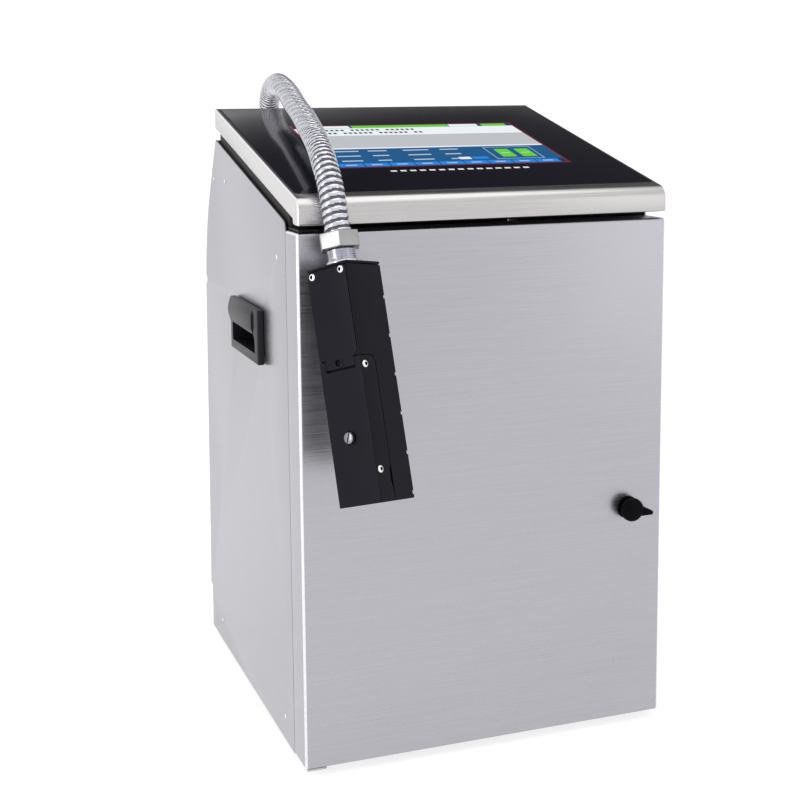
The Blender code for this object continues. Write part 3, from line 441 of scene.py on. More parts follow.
def put(made, name, finish, body, place=CABINET, stands_for=(), sharp=35):
    """Name a finished shape, place it, shade it and let it ride on its body."""
    made.name = name
    made.data.name = name
    made.data.transform(place)
    made.data.materials.clear()
    made.data.materials.append(finish)
    made.data.shade_smooth()
    made.data.set_sharp_from_angle(angle=radians(sharp))
    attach(made, body)
    if stands_for:
        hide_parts(*stands_for)
    return made


def refined(node, finish, width=0.3, segments=2):
    """A CAD solid with its edges broken, in place of the plain one."""
    source = NODES[node]
    work = bmesh.new()
    work.from_mesh(source.data)
    bmesh.ops.remove_doubles(work, verts=work.verts, dist=0.000002)
    bmesh.ops.dissolve_limit(work, angle_limit=radians(0.5), verts=work.verts, edges=work.edges)
    made = new_piece(node, work)
    if width:
        bevelled(made, width, segments, 45)
    return put(made, node + "_look", finish, source["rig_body"], Matrix.Identity(4), (node,))


# ---------------------------------------------------------------- conduit

HOSE_DIAMETER = 21.0
COIL_CENTRE = (209.0, 499.0)
COIL_RADIUS = 116.0
COIL_TURNS = 31.0 / 12.0
COIL_BASE = FLOOR + 1.6 + HOSE_DIAMETER / 2
COIL_PITCH = HOSE_DIAMETER + 0.3
TAIL_POINTS = [(290.0, 361.9, 48.0), (290.0, 378.0, 48.0), (293.4, 403.0, 47.6), (303.0, 427.5, 47.0)]
RISE_POINTS = [(93.0, 486.0, 3.8), (93.0, 453.0, 10.5), (93.0, 424.5, 28.5), (93.0, 406.0, 56.0),
               (93.0, 400.0, 90.0), (93.0, 400.0, 170.0), (93.0, 400.0, 270.0), (93.0, 400.0, 370.0),
               (93.0, 400.0, 435.0), (91.0, 399.5, 477.0), (86.0, 393.0, 509.5), (79.0, 375.0, 537.0),
               (74.0, 347.5, 555.5), (71.0, 315.0, 562.5), (67.0, 280.0, 560.0), (63.4, 245.0, 553.7),
               (54.0, 185.0, 541.5), (47.5, 140.0, 533.5), (41.1, 100.0, 525.3), (35.0, 60.0, 516.0),
               (30.1, 28.0, 505.9), (27.2, 7.5, 495.5), (26.4, -5.5, 484.0)]
HANGING_POINTS = [(26.0, -15.8, 469.8), (26.2, -22.5, 454.3), (26.6, -25.3, 446.7)]
RIB_PITCH = 5.6
RIB_DEPTH = 1.15
GROOVE_SHADE_LEVEL = 0.42           # share of the rib depth below which the surface gets painted shade, a darker steel in the grooves
RING_SPACING = 0.6
HOSE_SIDES = 22


def coil_points():
    """The coil from its top turn down to the floor, each turn a layer below the last."""
    points = []
    for step in range(round(COIL_TURNS * 12), -1, -1):
        turns = step / 12
        ramp = min(max((turns % 1 - 0.68) / 0.16, 0.0), 1.0)
        layer = int(turns) + ramp * ramp * (3 - 2 * ramp)
        angle = pi - 2 * pi * turns
        points.append((COIL_CENTRE[0] + COIL_RADIUS * cos(angle), COIL_CENTRE[1] + COIL_RADIUS * sin(angle),
                       COIL_BASE + COIL_PITCH * layer))
    return points


def smooth_curve(points, spacing):
    """Points about a spacing apart on the natural cubic spline through the given points."""
    knots = np.array(points, float)
    steps = np.linalg.norm(np.diff(knots, axis=0), axis=1)
    count = len(knots)
    system = np.eye(count)
    target = np.zeros((count, 3))
    for i in range(1, count - 1):
        before, after = steps[i - 1], steps[i]
        system[i, i - 1:i + 2] = before, 2 * (before + after), after
        target[i] = 6 * ((knots[i + 1] - knots[i]) / after - (knots[i] - knots[i - 1]) / before)
    bend = np.linalg.solve(system, target)
    made = []
    for i in range(count - 1):
        pieces = max(1, ceil(steps[i] / spacing))
        for piece in range(pieces + (i == count - 2)):
            t = piece / pieces
            weights = ((1 - t) ** 3 - (1 - t), t ** 3 - t)
            made.append((1 - t) * knots[i] + t * knots[i + 1]
                        + steps[i] ** 2 / 6 * (weights[0] * bend[i] + weights[1] * bend[i + 1]))
    return np.array(made)


def rib_profile(phase):
    """Depth of the conduit's surface below its crests, over one rib: a round crest and a narrow groove."""
    wave = 0.5 - 0.5 * np.cos(2 * pi * phase)
    return (1 - wave) ** 1.7


def ribbed_tube(name, line):
    """A tube along a line, in millimetres, with ribs that run round it as a helix."""
    tangents = np.gradient(line, axis=0)
    tangents /= np.linalg.norm(tangents, axis=1)[:, None]
    travelled = np.concatenate([[0], np.cumsum(np.linalg.norm(np.diff(line, axis=0), axis=1))])
    side = np.cross(tangents[0], (0, 0, 1))
    sides = []
    for tangent in tangents:
        side = side - tangent * side.dot(tangent)
        side = side / np.linalg.norm(side)
        sides.append(side)
    sides = np.array(sides)
    others = np.cross(tangents, sides)
    angles = 2 * pi * np.arange(HOSE_SIDES) / HOSE_SIDES
    phase = travelled[:, None] / RIB_PITCH - angles[None, :] / (2 * pi)
    radius = HOSE_DIAMETER / 2 - RIB_DEPTH * rib_profile(phase)
    radius[0], radius[-1] = HOSE_DIAMETER / 2 - RIB_DEPTH, HOSE_DIAMETER / 2 - RIB_DEPTH
    spokes = (np.cos(angles)[None, :, None] * sides[:, None, :]
              + np.sin(angles)[None, :, None] * others[:, None, :])
    points = line[:, None, :] + radius[:, :, None] * spokes
    rings = len(line)
    starts = np.arange(rings - 1)[:, None] * HOSE_SIDES
    around = np.arange(HOSE_SIDES)[None, :]
    first = (starts + around).ravel()
    turned = (starts + (around + 1) % HOSE_SIDES).ravel()
    quads = np.stack([first, turned, turned + HOSE_SIDES, first + HOSE_SIDES], axis=1)
    faces = quads.tolist()
    faces.append(list(range(HOSE_SIDES))[::-1])
    faces.append(list(range((rings - 1) * HOSE_SIDES, rings * HOSE_SIDES)))
    mesh = bpy.data.meshes.new(name)
    mesh.from_pydata((points.reshape(-1, 3) * MM).tolist(), [], faces)
    mesh.transform(CABINET)
    # faces deep in the grooves take the dark steel, painted shade
    groove_shade_mask = rib_profile((phase[:-1] + phase[1:]) / 2 - 0.5 / HOSE_SIDES) > GROOVE_SHADE_LEVEL
    mesh.materials.append(CHROME)
    mesh.materials.append(GROOVE_SHADE_STEEL)
    mesh.polygons.foreach_set("material_index", np.append(groove_shade_mask.ravel().astype(int), [0, 0]))
    made = bpy.data.objects.new(name, mesh)
    bpy.context.scene.collection.objects.link(made)
    return made


def conduit():
    """The whole conduit as one piece, from the rear gland to the printhead's union."""
    line = smooth_curve(TAIL_POINTS + coil_points() + RISE_POINTS + HANGING_POINTS, RING_SPACING)
    hose = ribbed_tube("umbilical_conduit", line)
    hose.data.shade_smooth()
    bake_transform(hose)
    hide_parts("umbilical_tail", "umbilical_rise", "umbilical_hanging", "umbilical_coil")
    tie = coil_strap()


def coil_strap():
    """A hook-and-loop strap round the coil, with its free end lapped over."""
    radius = HOSE_DIAMETER / 2
    y_low, y_high = COIL_CENTRE[1] + COIL_RADIUS - radius - 1.2, COIL_CENTRE[1] + COIL_RADIUS + radius + GAP
    z_low, z_high = FLOOR + 1.3, FLOOR + 1.9 + HOSE_DIAMETER + 2 * COIL_PITCH
    x = COIL_CENTRE[0]
    outline = rounded((y_low - 1.3, z_low - 1.3), (y_high + 1.3, z_high + 1.3), 5)
    band = prism(outline, x - 7, x + 7, "X", 0.3)
    hole = prism(rounded((y_low, z_low), (y_high, z_high), 3.8), x - 9, x + 9, "X")
    carve(band, hole)
    lap = block((x - 6.4, y_high + 1.0, z_low + 20), (x + 6.4, y_high + 1.9, z_high - 4), 0.3)
    carve(band, lap, operation="UNION")
    return put(band, "coil_strap", RUBBER, "root", stands_for=("coil_tie",))


# ---------------------------------------------------------------- cabinet and door

def second_finish(made, finish, axis, share=0.7):
    """Give the faces that look along one axis another finish, such as the other way of brushing."""
    made.data.materials.append(finish)
    index = "XYZ".index(axis)
    for face in made.data.polygons:
        if abs(face.normal[index]) > share:
            face.material_index = 1
    return made


def highlighted_bends(made):
    """Give the faces that turn from a side to the front or the top a brighter finish, a painted highlight
    along the bends.
    """
    made.data.materials.append(BEND_HIGHLIGHT_STEEL)
    last = len(made.data.materials) - 1
    for face in made.data.polygons:
        if 0.25 < abs(face.normal.x) < 0.96:
            face.material_index = last
    return made


def open_pan(low, high, open_side, thickness, radius, segments=5):
    """A folded pan of sheet: rounded bends, one open side, and its thickness going inwards."""
    work = bmesh.new()
    bmesh.ops.create_cube(work, size=1.0)
    low, high = Vector(low), Vector(high)
    doomed = [face for face in work.faces if face.normal.dot(Vector(open_side)) > 0.9]
    bmesh.ops.delete(work, geom=doomed, context="FACES_ONLY")
    bmesh.ops.scale(work, vec=(high - low) * MM, verts=work.verts)
    bmesh.ops.translate(work, vec=(high + low) * MM / 2, verts=work.verts)
    made = bevelled(new_piece("pan", work), radius, segments)
    sheet = made.modifiers.new("sheet", "SOLIDIFY")
    sheet.thickness = thickness * MM
    sheet.offset = -1.0
    sheet.use_even_offset = True
    return settled(made)


LATCH_AXIS = (296.0, 192.0)   # x and z
POINTER_DROOP = 13.0          # the pointer hangs a little below level
HINGE_AXIS = (6.0, 6.0)       # x and y


def door():
    """The door's skin with its holes, and the liner and seal behind it."""
    skin = open_pan((0, 0, 0), (WIDTH, DOOR_DEPTH, DOOR_HEIGHT), (0, 1, 0), SHEET, 2.6, 6)
    x, z = LATCH_AXIS
    carve(skin, lathe([(0, -5), (8.3, -5), (8.3, 12), (0, 12)], "Y", (x, 0, z)))
    for level in (-4, DOOR_HEIGHT - 6):
        carve(skin, lathe([(0, 0), (2.9, 0), (2.9, 10), (0, 10)], "Z", (*HINGE_AXIS, level), 24))
    put(skin, "door_skin", DOOR_STEEL, "door", stands_for=("door_pan",))
    highlighted_bends(second_finish(skin, SIDE_STEEL, "X"))
    refined("door_liner", INNER_STEEL, 0.5)
    refined("door_seal", RUBBER, 0.9, 3)


def cabinet():
    """The fixed sheet metal, and the rubber collar under the lid."""
    for side in ("left", "right"):
        highlighted_bends(refined(side + "_side_panel", SIDE_STEEL, 0.8, 3))
    for node in ("front_frame", "base_pan", "component_shelf"):
        refined(node, INNER_STEEL, 0.25)
    # the top hinge bracket is black as painted shade in the gap under the lid
    refined("top_hinge_bracket", GAP_SHADE_BLACK, 0.25)
    refined("bottom_hinge_bracket", INNER_STEEL, 0.25)
    refined("rear_panel", DOOR_STEEL, 0.25)
    refined("rear_top_cover", DOOR_STEEL, 0.2)
    refined("lid_collar", RUBBER, 0.5)


def small_screw(name, at, axis, radius):
    """A domed cross-recess screw head; at is the centre of its underside, and axis where it faces."""
    profile = [(0, -0.6), (radius, -0.6), (radius, 0.35), (radius * 0.8, 0.75), (radius * 0.4, 0.95),
               (0, 1.0)]
    head = lathe(profile, sides=28)
    for turn in (0, 90):
        bar = block((-radius * 0.6, -0.28, 0.45), (radius * 0.6, 0.28, 2))
        bar.data.transform(Matrix.Rotation(radians(turn + 20), 4, "Z"))
        carve(head, bar)
    turn = Vector(axis).to_track_quat("Z", "X").to_matrix().to_4x4()
    put(head, name, SCREW_STEEL, "root", CABINET @ Matrix.Translation(Vector(at) * MM) @ turn)


SIDE_SCREWS = [(244, 472), (290, 472), (60, 22), (300, 22), (60, 420)]     # y and z
REAR_SCREWS = [(12, 356), (318, 356), (12, 190), (318, 190), (12, 12), (318, 12), (165, 356), (165, 12)]
REAR_FACE = 335.5


def cabinet_screws():
    """The small screws that hold the side panels and the rear panel."""
    for side, x, facing in (("left", 0.0, -1), ("right", WIDTH, 1)):
        for index, (y, z) in enumerate(SIDE_SCREWS):
            small_screw("%s_panel_screw_%d" % (side, index), (x, y, z), (facing, 0, 0), 1.9)
    for index, (x, z) in enumerate(REAR_SCREWS):
        small_screw("rear_panel_screw_%d" % index, (x, REAR_FACE, z), (0, 1, 0), 2.6)


# ---------------------------------------------------------------- lid and screen

LID_FRONT, LID_BACK = -2.0, 284.0
LID_EDGE = 0.8                # the lid stops short of the side panels' outer faces
SLOPE_RISE = 0.2397           # tangent of LID_SLOPE


def lid_profile(inset):
    """The lid's section in (y, z), with a rolled front and a stepped lower edge."""
    front, back = LID_FRONT + inset, LID_BACK - inset
    top = GLASS_FRONT[1] - GLASS_FRONT[0] * SLOPE_RISE - inset * 1.03
    roll = arc((front + 12, top + (front + 12) * SLOPE_RISE - 12.3), 12, 180, 90 + LID_SLOPE, 18)
    drop = 0 if inset == 0 else -30
    lower = [(13.6, 455.2), (12.0, 450.6)] if inset == 0 else []
    return [(front, 450.6 + drop)] + roll + [(back, top + back * SLOPE_RISE), (back, 520 + drop)] + lower


def lid():
    """The folded lid, open below, and the glass let into its slope."""
    shell = prism(lid_profile(0), LID_EDGE, WIDTH - LID_EDGE, "X", 1.8, 4)
    carve(shell, prism(lid_profile(SHEET), LID_EDGE + SHEET, WIDTH - LID_EDGE - SHEET, "X"))
    outline = rounded((GLASS_SIDES[0] - GAP, -GAP), (GLASS_SIDES[1] + GAP, GLASS_LENGTH + GAP), 4.2)
    seat = prism(outline, -20, 5)
    seat.data.transform(CABINET.inverted() @ LID_PLANE)
    carve(shell, seat)
    put(shell, "lid_shell", LID_STEEL, "root", stands_for=("lid_rim",), sharp=50)
    # the lid's sides get the brighter steel, painted light
    highlighted_bends(second_finish(shell, LID_SIDE_LIT_STEEL, "X"))
    glass = prism(rounded((GLASS_SIDES[0], 0), (GLASS_SIDES[1], GLASS_LENGTH), 4), -3, 0, "Z", 0.35, 3)
    put(glass, "touch_glass", GLASS, "root", LID_PLANE, ("screen_glass",))


SCREEN_LOW, SCREEN_HIGH = (55.0, 66.4), (279.5, 206.7)
BORDER = 2.0
TILE = 0.05                   # thickness of one layer of the picture


def screen():
    """The lit picture: plain bands, bars and boxes, each a thin tile on the glass."""
    width = SCREEN_HIGH[0] - SCREEN_LOW[0] - 2 * BORDER
    height = SCREEN_HIGH[1] - SCREEN_LOW[1] - 2 * BORDER
    layers = {}

    def tile(colour, left, bottom, right, top, layer=1):
        """A tile between shares of the picture's width and height."""
        x, y = SCREEN_LOW[0] + BORDER, SCREEN_LOW[1] + BORDER
        low = (x + left * width, y + bottom * height, 0.0)
        high = (x + right * width, y + top * height, TILE * (layer + 1))
        layers.setdefault(colour, []).append((low, high))

    layers["border"] = [((*SCREEN_LOW, 0.0), (*SCREEN_HIGH, TILE))]
    tile("navy", 0, 0, 1, 1, 0.6)
    tile("navy_light", 0, 0.085, 1, 0.41, 1)
    tile("line_white", 0, 0.41, 1, 0.437, 1)
    tile("grey", 0, 0.437, 1, 0.74, 1)
    tile("paper", 0, 0.74, 1, 0.93, 1)
    tile("paper", 0.03, 0.935, 0.25, 0.99, 1)
    tile("green", 0.26, 0.935, 0.70, 0.99, 1)
    tile("paper", 0.705, 0.935, 0.84, 0.99, 1)
    tile("green", 0.86, 0.935, 0.975, 0.99, 1)
    for row, bottom in enumerate((0.86, 0.785)):
        for index in range(22):
            left = 0.06 + 0.0225 * index
            if (index * 5 + row * 3) % 7 != 0:
                tile("ink", left, bottom, left + 0.014, bottom + 0.035, 2)
    for row, bottom in enumerate((0.345, 0.235, 0.125)):
        for left, right in ((0.06, 0.17), (0.21, 0.29), (0.36, 0.47), (0.52, 0.6)):
            tile("pale", left, bottom, right - 0.012 * row, bottom + 0.022, 2)
    tile("paper", 0.555, 0.115, 0.605, 0.165, 3)
    tile("button", 0.615, 0.115, 0.68, 0.165, 3)
    for left, right, bottom, top in ((0.715, 0.925, 0.375, 0.381), (0.715, 0.925, 0.105, 0.111),
                                     (0.715, 0.718, 0.105, 0.381), (0.922, 0.925, 0.105, 0.381)):
        tile("pale", left, bottom, right, top, 2)
    for left in (0.752, 0.842):
        tile("green", left, 0.15, left + 0.062, 0.33, 2)
        tile("pale", left + 0.012, 0.232, left + 0.05, 0.248, 3)
    for index in range(9):
        left = 0.03 + 0.105 * index
        tile("button", left, 0.008, left + 0.1, 0.08, 1)
        tile("pale", left + 0.028, 0.036, left + 0.072, 0.052, 2)
    finishes = {"border": SCREEN_RED, "navy": SCREEN_NAVY, "navy_light": SCREEN_BLUE,
                "line_white": SCREEN_WHITE, "grey": SCREEN_GREY, "paper": SCREEN_WHITE,
                "green": SCREEN_GREEN, "ink": SCREEN_INK, "pale": SCREEN_PALE, "button": SCREEN_BUTTON}
    for colour, tiles in layers.items():
        work = bmesh.new()
        for low, high in tiles:
            low, high = Vector(low) * MM, Vector(high) * MM
            made = bmesh.ops.create_cube(work, size=1.0)["verts"]
            bmesh.ops.scale(work, vec=high - low, verts=made)
            bmesh.ops.translate(work, vec=(high + low) / 2, verts=made)
        put(new_piece("tiles", work), "screen_" + colour, finishes[colour], "root",
            LID_PLANE)


DASHES = 15
DASH_SIZE = (5.4, 3.4, 0.06)
DASH_START = (106.0, 54.5, 0.03)
DASH_PITCH = 8.8


def glass_dashes():
    """A row of equal printed dashes under the picture."""
    work = bmesh.new()
    for index in range(DASHES):
        centre = Vector(DASH_START) + Vector((DASH_PITCH * index, 0, 0))
        made = bmesh.ops.create_cube(work, size=1.0)["verts"]
        bmesh.ops.scale(work, vec=Vector(DASH_SIZE) * MM, verts=made)
        bmesh.ops.translate(work, vec=centre * MM, verts=made)
    put(new_piece("dashes", work), "glass_dashes", PRINT_WHITE, "root", LID_PLANE)


# ---------------------------------------------------------------- handles, feet and latch

def handle(side):
    """A moulded grip: a flat frame, a pocket with a round upper corner, and a bulging hood over it."""
    front, back, low, high = 106.0, 206.0, 321.0, 369.0
    face, proud, deep = 6.4, 8.9, 25.8
    body = block((-face, front, low), (-GAP, back, high), 1.4, 4)
    cup = block((-2, front + 7, low + 6), (deep, back - 6, high - 6), 2.0)
    carve(body, cup, operation="UNION")
    hood_end, lip = front + 16.0, 346.0
    crown = high - 1.2
    bulge = [(-1.0, high - 0.3), (-face, high - 0.6)]
    for step in range(1, 10):
        swell = (proud - face) * sin(radians(18 * step))
        bulge.append((-face - swell, crown - (crown - lip) * step / 10))
    bulge += [(-face, lip), (-1.0, lip)]
    hood = prism(bulge, hood_end, back - 0.4, "Y", 0.5, 3)
    slant = [(-face, front + 3), (-proud - 1, hood_end + 14), (-proud - 1, front - 5)]
    carve(hood, prism(slant, lip - 2, high + 2))
    carve(body, hood, operation="UNION")
    outline = ([(back - 8, low + 8.5), (back - 8, lip + 3.0)]
               + arc((front + 22, lip - 9.0), 12.0, 90, 180, 10)
               + [(front + 10, low + 9.0)])
    pocket = prism(outline, -20, deep - 2.4, "X")
    keep = block((-25, hood_end + 1, lip), (-face + 2.0, back, high))
    carve(pocket, keep)
    carve(body, pocket)
    if side == "right":
        body.data.transform(Matrix.Scale(-1, 4, (1, 0, 0)))
        body.data.flip_normals()
        body.data.transform(Matrix.Translation((WIDTH * MM, 0, 0)))
    put(body, side + "_handle_grip", BLACK_PLASTIC, "root",
        stands_for=(side + "_handle",))


def feet():
    """Four hollow rubber feet."""
    for name in ("foot_front_left", "foot_front_right", "foot_rear_left", "foot_rear_right"):
        low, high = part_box(name)
        centre = (low + high) / 2
        profile = [(0, 7.7), (12.9, 7.7), (12.9, 6.4), (11.6, 1.2), (10.6, 0), (5.4, 0), (4.6, 2.6),
                   (0, 2.6)]
        foot = lathe(profile, sides=40)
        place = Matrix.Translation((centre.x, centre.y, low.z))
        put(foot, name + "_rubber", RUBBER, "root", place, (name,))


def latch():
    """A quarter-turn knob with a drooping pointer, its shaft and cam, and the collar in the door."""
    x, z = LATCH_AXIS
    profile = [(0, -12.6), (7.9, -12.6), (9.3, -12.1), (10.1, -11.0), (10.4, -8.8), (9.8, -7.2),
               (8.3, -6.2), (7.0, -5.8), (7.0, -1.9), (0, -1.9)]
    knob = lathe(profile, "Y", sides=64)
    tip = arc((18.6, 0), 2.0, -80, 80, 8)
    outline = [(-3, -5.9), (3, -5.8), (18.6, -2.0)] + tip + [(3, 5.8), (-3, 5.9)]
    wing = prism(outline, -11.5, -5.0, "Y", 1.1, 4)
    wing.data.transform(Matrix.Rotation(radians(POINTER_DROOP), 4, "Y"))
    carve(knob, wing, operation="UNION")
    shaft = lathe([(0, -3), (3.6, -3), (3.6, 36.2), (0, 36.2)], "Y")
    carve(knob, shaft, operation="UNION")
    place = placed((x, 0, z))
    put(knob, "latch_pointer_knob", KNOB_PLASTIC, "latch", place, ("latch_knob",))
    profile = [(4.2, 31.0), (7.6, 31.0), (8.0, 30.6), (8.0, -0.5), (9.6, -0.5), (10.0, -0.9), (9.4, -1.6),
               (4.2, -1.6)]
    collar = lathe(profile, "Y")
    put(collar, "latch_collar", KNOB_PLASTIC, "door", place, ("latch_body",))
    refined("latch_cam", ZINC, 0.3)


# ---------------------------------------------------------------- printhead

def filleted(corners, count=6):
    """A closed outline from (x, y, radius) corners, each rounded by its radius."""
    made = []
    for index, (x, y, radius) in enumerate(corners):
        here = Vector((x, y))
        before = (Vector(corners[index - 1][:2]) - here).normalized()
        after = (Vector(corners[(index + 1) % len(corners)][:2]) - here).normalized()
        if radius == 0:
            made.append((x, y))
            continue
        half_angle = before.angle(after) / 2
        reach = radius / np.tan(half_angle)
        centre = here + (before + after).normalized() * (radius / sin(half_angle))
        start, end = here + before * reach - centre, here + after * reach - centre
        for step in range(count + 1):
            share = step / count
            spoke = (start * (1 - share) + end * share).normalized() * radius
            made.append((centre.x + spoke.x, centre.y + spoke.y))
    return made


SEAM = -72.0                  # between the upper cover plate and the lower cover
FLANGE = -3.15                # far edge of the lower cover's side walls
TAB_LEFT, TAB_RIGHT, TAB_BOTTOM = -13.6, 14.0, -79.4
TAB_HOLE = (-1.8, -75.2)
SLOT_DEPTH = 1.85             # the lower cover is thinned round the tab, but not cut through
RECESS_DEPTH = 2.3            # of the frame, behind the cover plate
THUMB_SCREW_LEVEL = -132.0
NOTCHES = 6
NOTCH_PITCH = 30.0


def paint_shade_on(made, faces):
    """Give the marked faces the black of painted shade."""
    made.data.materials.append(PAINTED_SHADE_BLACK)
    made.data.polygons.foreach_set("material_index", [int(marked) for marked in faces])


def head_body():
    """The frame, with the upper block, a recess for the cover plate, and notches on its far edge."""
    body = block((-HALF, -HALF, -HEAD_LENGTH), (HALF, HALF, -2.7), 0.9, 4)
    envelope = filleted([(-HALF - 5, -HEAD_LENGTH - 5, 0), (FLANGE + 0.3, -HEAD_LENGTH - 5, 0),
                         (FLANGE + 0.3, SEAM - 0.4, 6.3), (-HALF - 5, SEAM - 0.4, 0)])
    carve(body, prism(envelope, -HALF - 5, HALF + 5, "X"))
    recess = block((-HALF - 5, -HALF - 5, SEAM - 10), (HALF - 1.1, -HALF + RECESS_DEPTH, 5))
    carve(body, recess)
    corner = filleted([(HALF - 6.5, SEAM, 0), (HALF - 1.1, SEAM, 0), (HALF - 1.1, SEAM + 5.4, 0)], 1)
    bite = lathe([(0, -4), (5.0, -4), (5.0, 4), (0, 4)], "Y", (HALF - 6.3, -HALF + 1.2, SEAM + 5.2))
    filler = prism(corner, -HALF + 0.1, -HALF + 2.4, "Y")
    carve(filler, bite)
    carve(body, filler, operation="UNION")
    for index in range(NOTCHES):
        level = -28.0 - NOTCH_PITCH * index
        notch = block((HALF - 1.5, HALF - 2.2, level - 1.3), (HALF + 1, HALF + 1, level + 1.3))
        carve(body, notch)
    groove = block((-HALF + 5, HALF - 1.0, -HEAD_LENGTH + 8), (-HALF + 7, HALF + 1, -12))
    carve(body, groove)
    # the recess floor behind the cover plate gets painted shade
    depth = (RECESS_DEPTH - HALF) * MM
    recess_floor = [abs(face.center.y - depth) < 0.1 * MM for face in body.data.polygons]
    put(body, "head_frame", HEAD_BLACK, "printhead", HEAD, ("head_spine",), 40)
    paint_shade_on(body, recess_floor)


def head_upper_plate():
    """The upper cover plate with its tab, the pin in the tab's hole, and the end cap."""
    corners = [(-HALF + 0.5, -3.0, 4.0), (-HALF + 0.5, SEAM + 0.3, 0.6), (TAB_LEFT, SEAM + 0.3, 0.4),
               (TAB_LEFT, TAB_BOTTOM, 0.8), (TAB_RIGHT, TAB_BOTTOM, 0.8), (TAB_RIGHT, SEAM + 0.3, 0.4),
               (HALF - 1.9, SEAM + 0.3, 5.0), (HALF - 1.9, -3.0, 2.0)]
    plate = prism(filleted(corners), -HALF, -HALF + 2.0, "Y", 0.35, 3)
    x, z = TAB_HOLE
    carve(plate, lathe([(0, -3), (2.7, -3), (2.7, 4), (0, 4)], "Y", (x, -HALF, z), 32))
    scratch = [(x + 4.4, SEAM - 0.4), (x + 5.0, SEAM - 0.4), (x + 5.0, z - 3.4), (x + 1.0, z - 3.6),
               (x + 4.4, z - 2.6)]
    carve(plate, prism(scratch, -HALF - 1, -HALF + 0.5, "Y"))
    put(plate, "head_cover_plate", HEAD_BLACK, "printhead", HEAD, ("head_upper_cover",), 40)
    profile = [(0, 0), (2.35, 0), (2.35, 1.6), (1.9, 1.9), (0, 1.9)]
    pin = lathe(profile, "Y", (x, -HALF + 1.3, z), 32)
    # the pin sunk in the tab's hole takes the painted shade black
    put(pin, "tab_pin", PAINTED_SHADE_BLACK, "printhead", HEAD)
    refined("head_end_cap", HEAD_BLACK, 0.3)


def head_lower_shell():
    """The sliding cover over the nozzle, and the thumb screw that holds it."""
    outline = filleted([(-HALF, -HEAD_LENGTH, 0.8), (FLANGE - 0.1, -HEAD_LENGTH, 0.4),
                        (FLANGE - 0.1, SEAM - 0.8, 6.0), (-HALF, SEAM - 0.8, 0.6)])
    shell = prism(outline, -HALF, HALF, "X", 0.7, 4)
    carve(shell, block((-HALF + 2, -HALF + 2, -HEAD_LENGTH + 2), (HALF - 2, 5, SEAM - 2.8)))
    opening = filleted([(TAB_LEFT - 0.5, SEAM + 3, 0), (TAB_LEFT - 0.5, TAB_BOTTOM - 1.9, 0.8),
                        (TAB_RIGHT + 0.5, TAB_BOTTOM - 1.9, 0.8), (TAB_RIGHT + 0.5, SEAM + 3, 0)])
    carve(shell, prism(opening, -HALF - 2, -HALF + SLOT_DEPTH, "Y"))
    profile = [(0, -2), (5.5, -2), (5.5, 1.3), (2.5, 1.3), (2.5, 6), (0, 6)]
    carve(shell, lathe(profile, "Y", (0, -HALF, THUMB_SCREW_LEVEL), 40))
    carve(shell, block((-6, -HALF + 6, -HEAD_LENGTH - 3), (6, -4, -HEAD_LENGTH + 6)))
    sliver = filleted([(FLANGE - 1.5, -157, 0), (FLANGE + 2, -157, 0), (FLANGE + 2, -HEAD_LENGTH + 5, 0),
                       (FLANGE - 0.3, -HEAD_LENGTH + 5, 0), (FLANGE - 2.2, -166, 2)])
    carve(shell, prism(sliver, HALF - 1.4, HALF + 3, "X"))
    # the floor of the slot round the tab gets painted shade
    depth = (SLOT_DEPTH - HALF) * MM
    slot_floor = [abs(face.center.y - depth) < 0.1 * MM and face.center.z > -84 * MM
                  for face in shell.data.polygons]
    put(shell, "nozzle_cover_shell", HEAD_BLACK, "nozzle_cover", HEAD,
        ("head_lower_cover",), 40)
    paint_shade_on(shell, slot_floor)
    profile = [(0, 3.1), (3.4, 3.1), (4.2, 2.6), (4.4, 1.8), (4.4, 0.3), (2.1, 0.3), (2.1, -5.0), (0, -5.0)]
    head = lathe(profile, sides=40)
    carve(head, block((-6, -0.6, 1.9), (6, 0.6, 5)))
    turn = (Matrix.Translation(Vector((0, -HALF, THUMB_SCREW_LEVEL)) * MM)
            @ Matrix.Rotation(radians(90), 4, "X"))
    put(head, "nozzle_thumb_screw", DULL_STEEL, "thumb_screw",
        HEAD @ turn @ Matrix.Rotation(radians(65), 4, "Z"), ("cover_thumb_screw",))


def head_screw(name, place, body):
    """A button-head screw with painted shade in its hexagon socket."""
    profile = [(0, -1.0), (2.9, -1.0), (2.9, 0.2), (2.6, 0.75), (2.0, 1.05), (1.45, 1.1), (1.45, 0.1),
               (0, 0.1)]
    head = lathe(profile, sides=36)
    put(head, name, SCREW_STEEL, body, HEAD @ place)
    head.data.materials.append(PAINTED_SHADE_BLACK)
    centre = (HEAD @ place).translation
    facing = (HEAD @ place).to_3x3() @ Vector((0, 0, 1))
    # faces inside the hexagon socket get painted shade
    for face in head.data.polygons:
        offset = face.center - centre
        outwards = offset.dot(facing)
        if (offset - facing * outwards).length < 1.46 * MM and outwards > -0.5 * MM:
            face.material_index = 1


def head_screws():
    """Two screws at the top of the cover plate, and two in the lower cover's side wall."""
    left = Matrix.Rotation(radians(90), 4, "X")
    right = Matrix.Rotation(radians(90), 4, "Y")
    for name, x, z in (("cover_screw_left", -15.0, -6.6), ("cover_screw_right", 13.6, -6.2)):
        head_screw(name, Matrix.Translation((x * MM, -HALF * MM, z * MM)) @ left, "printhead")
    for name, z in (("flange_screw_upper", -79.5), ("flange_screw_lower", -158.0)):
        head_screw(name, Matrix.Translation((HALF * MM, -15.6 * MM, z * MM)) @ right, "nozzle_cover")


NUT_RADIUS = 17.0             # to its corners
THREADS = 6
THREAD_PITCH = 1.45


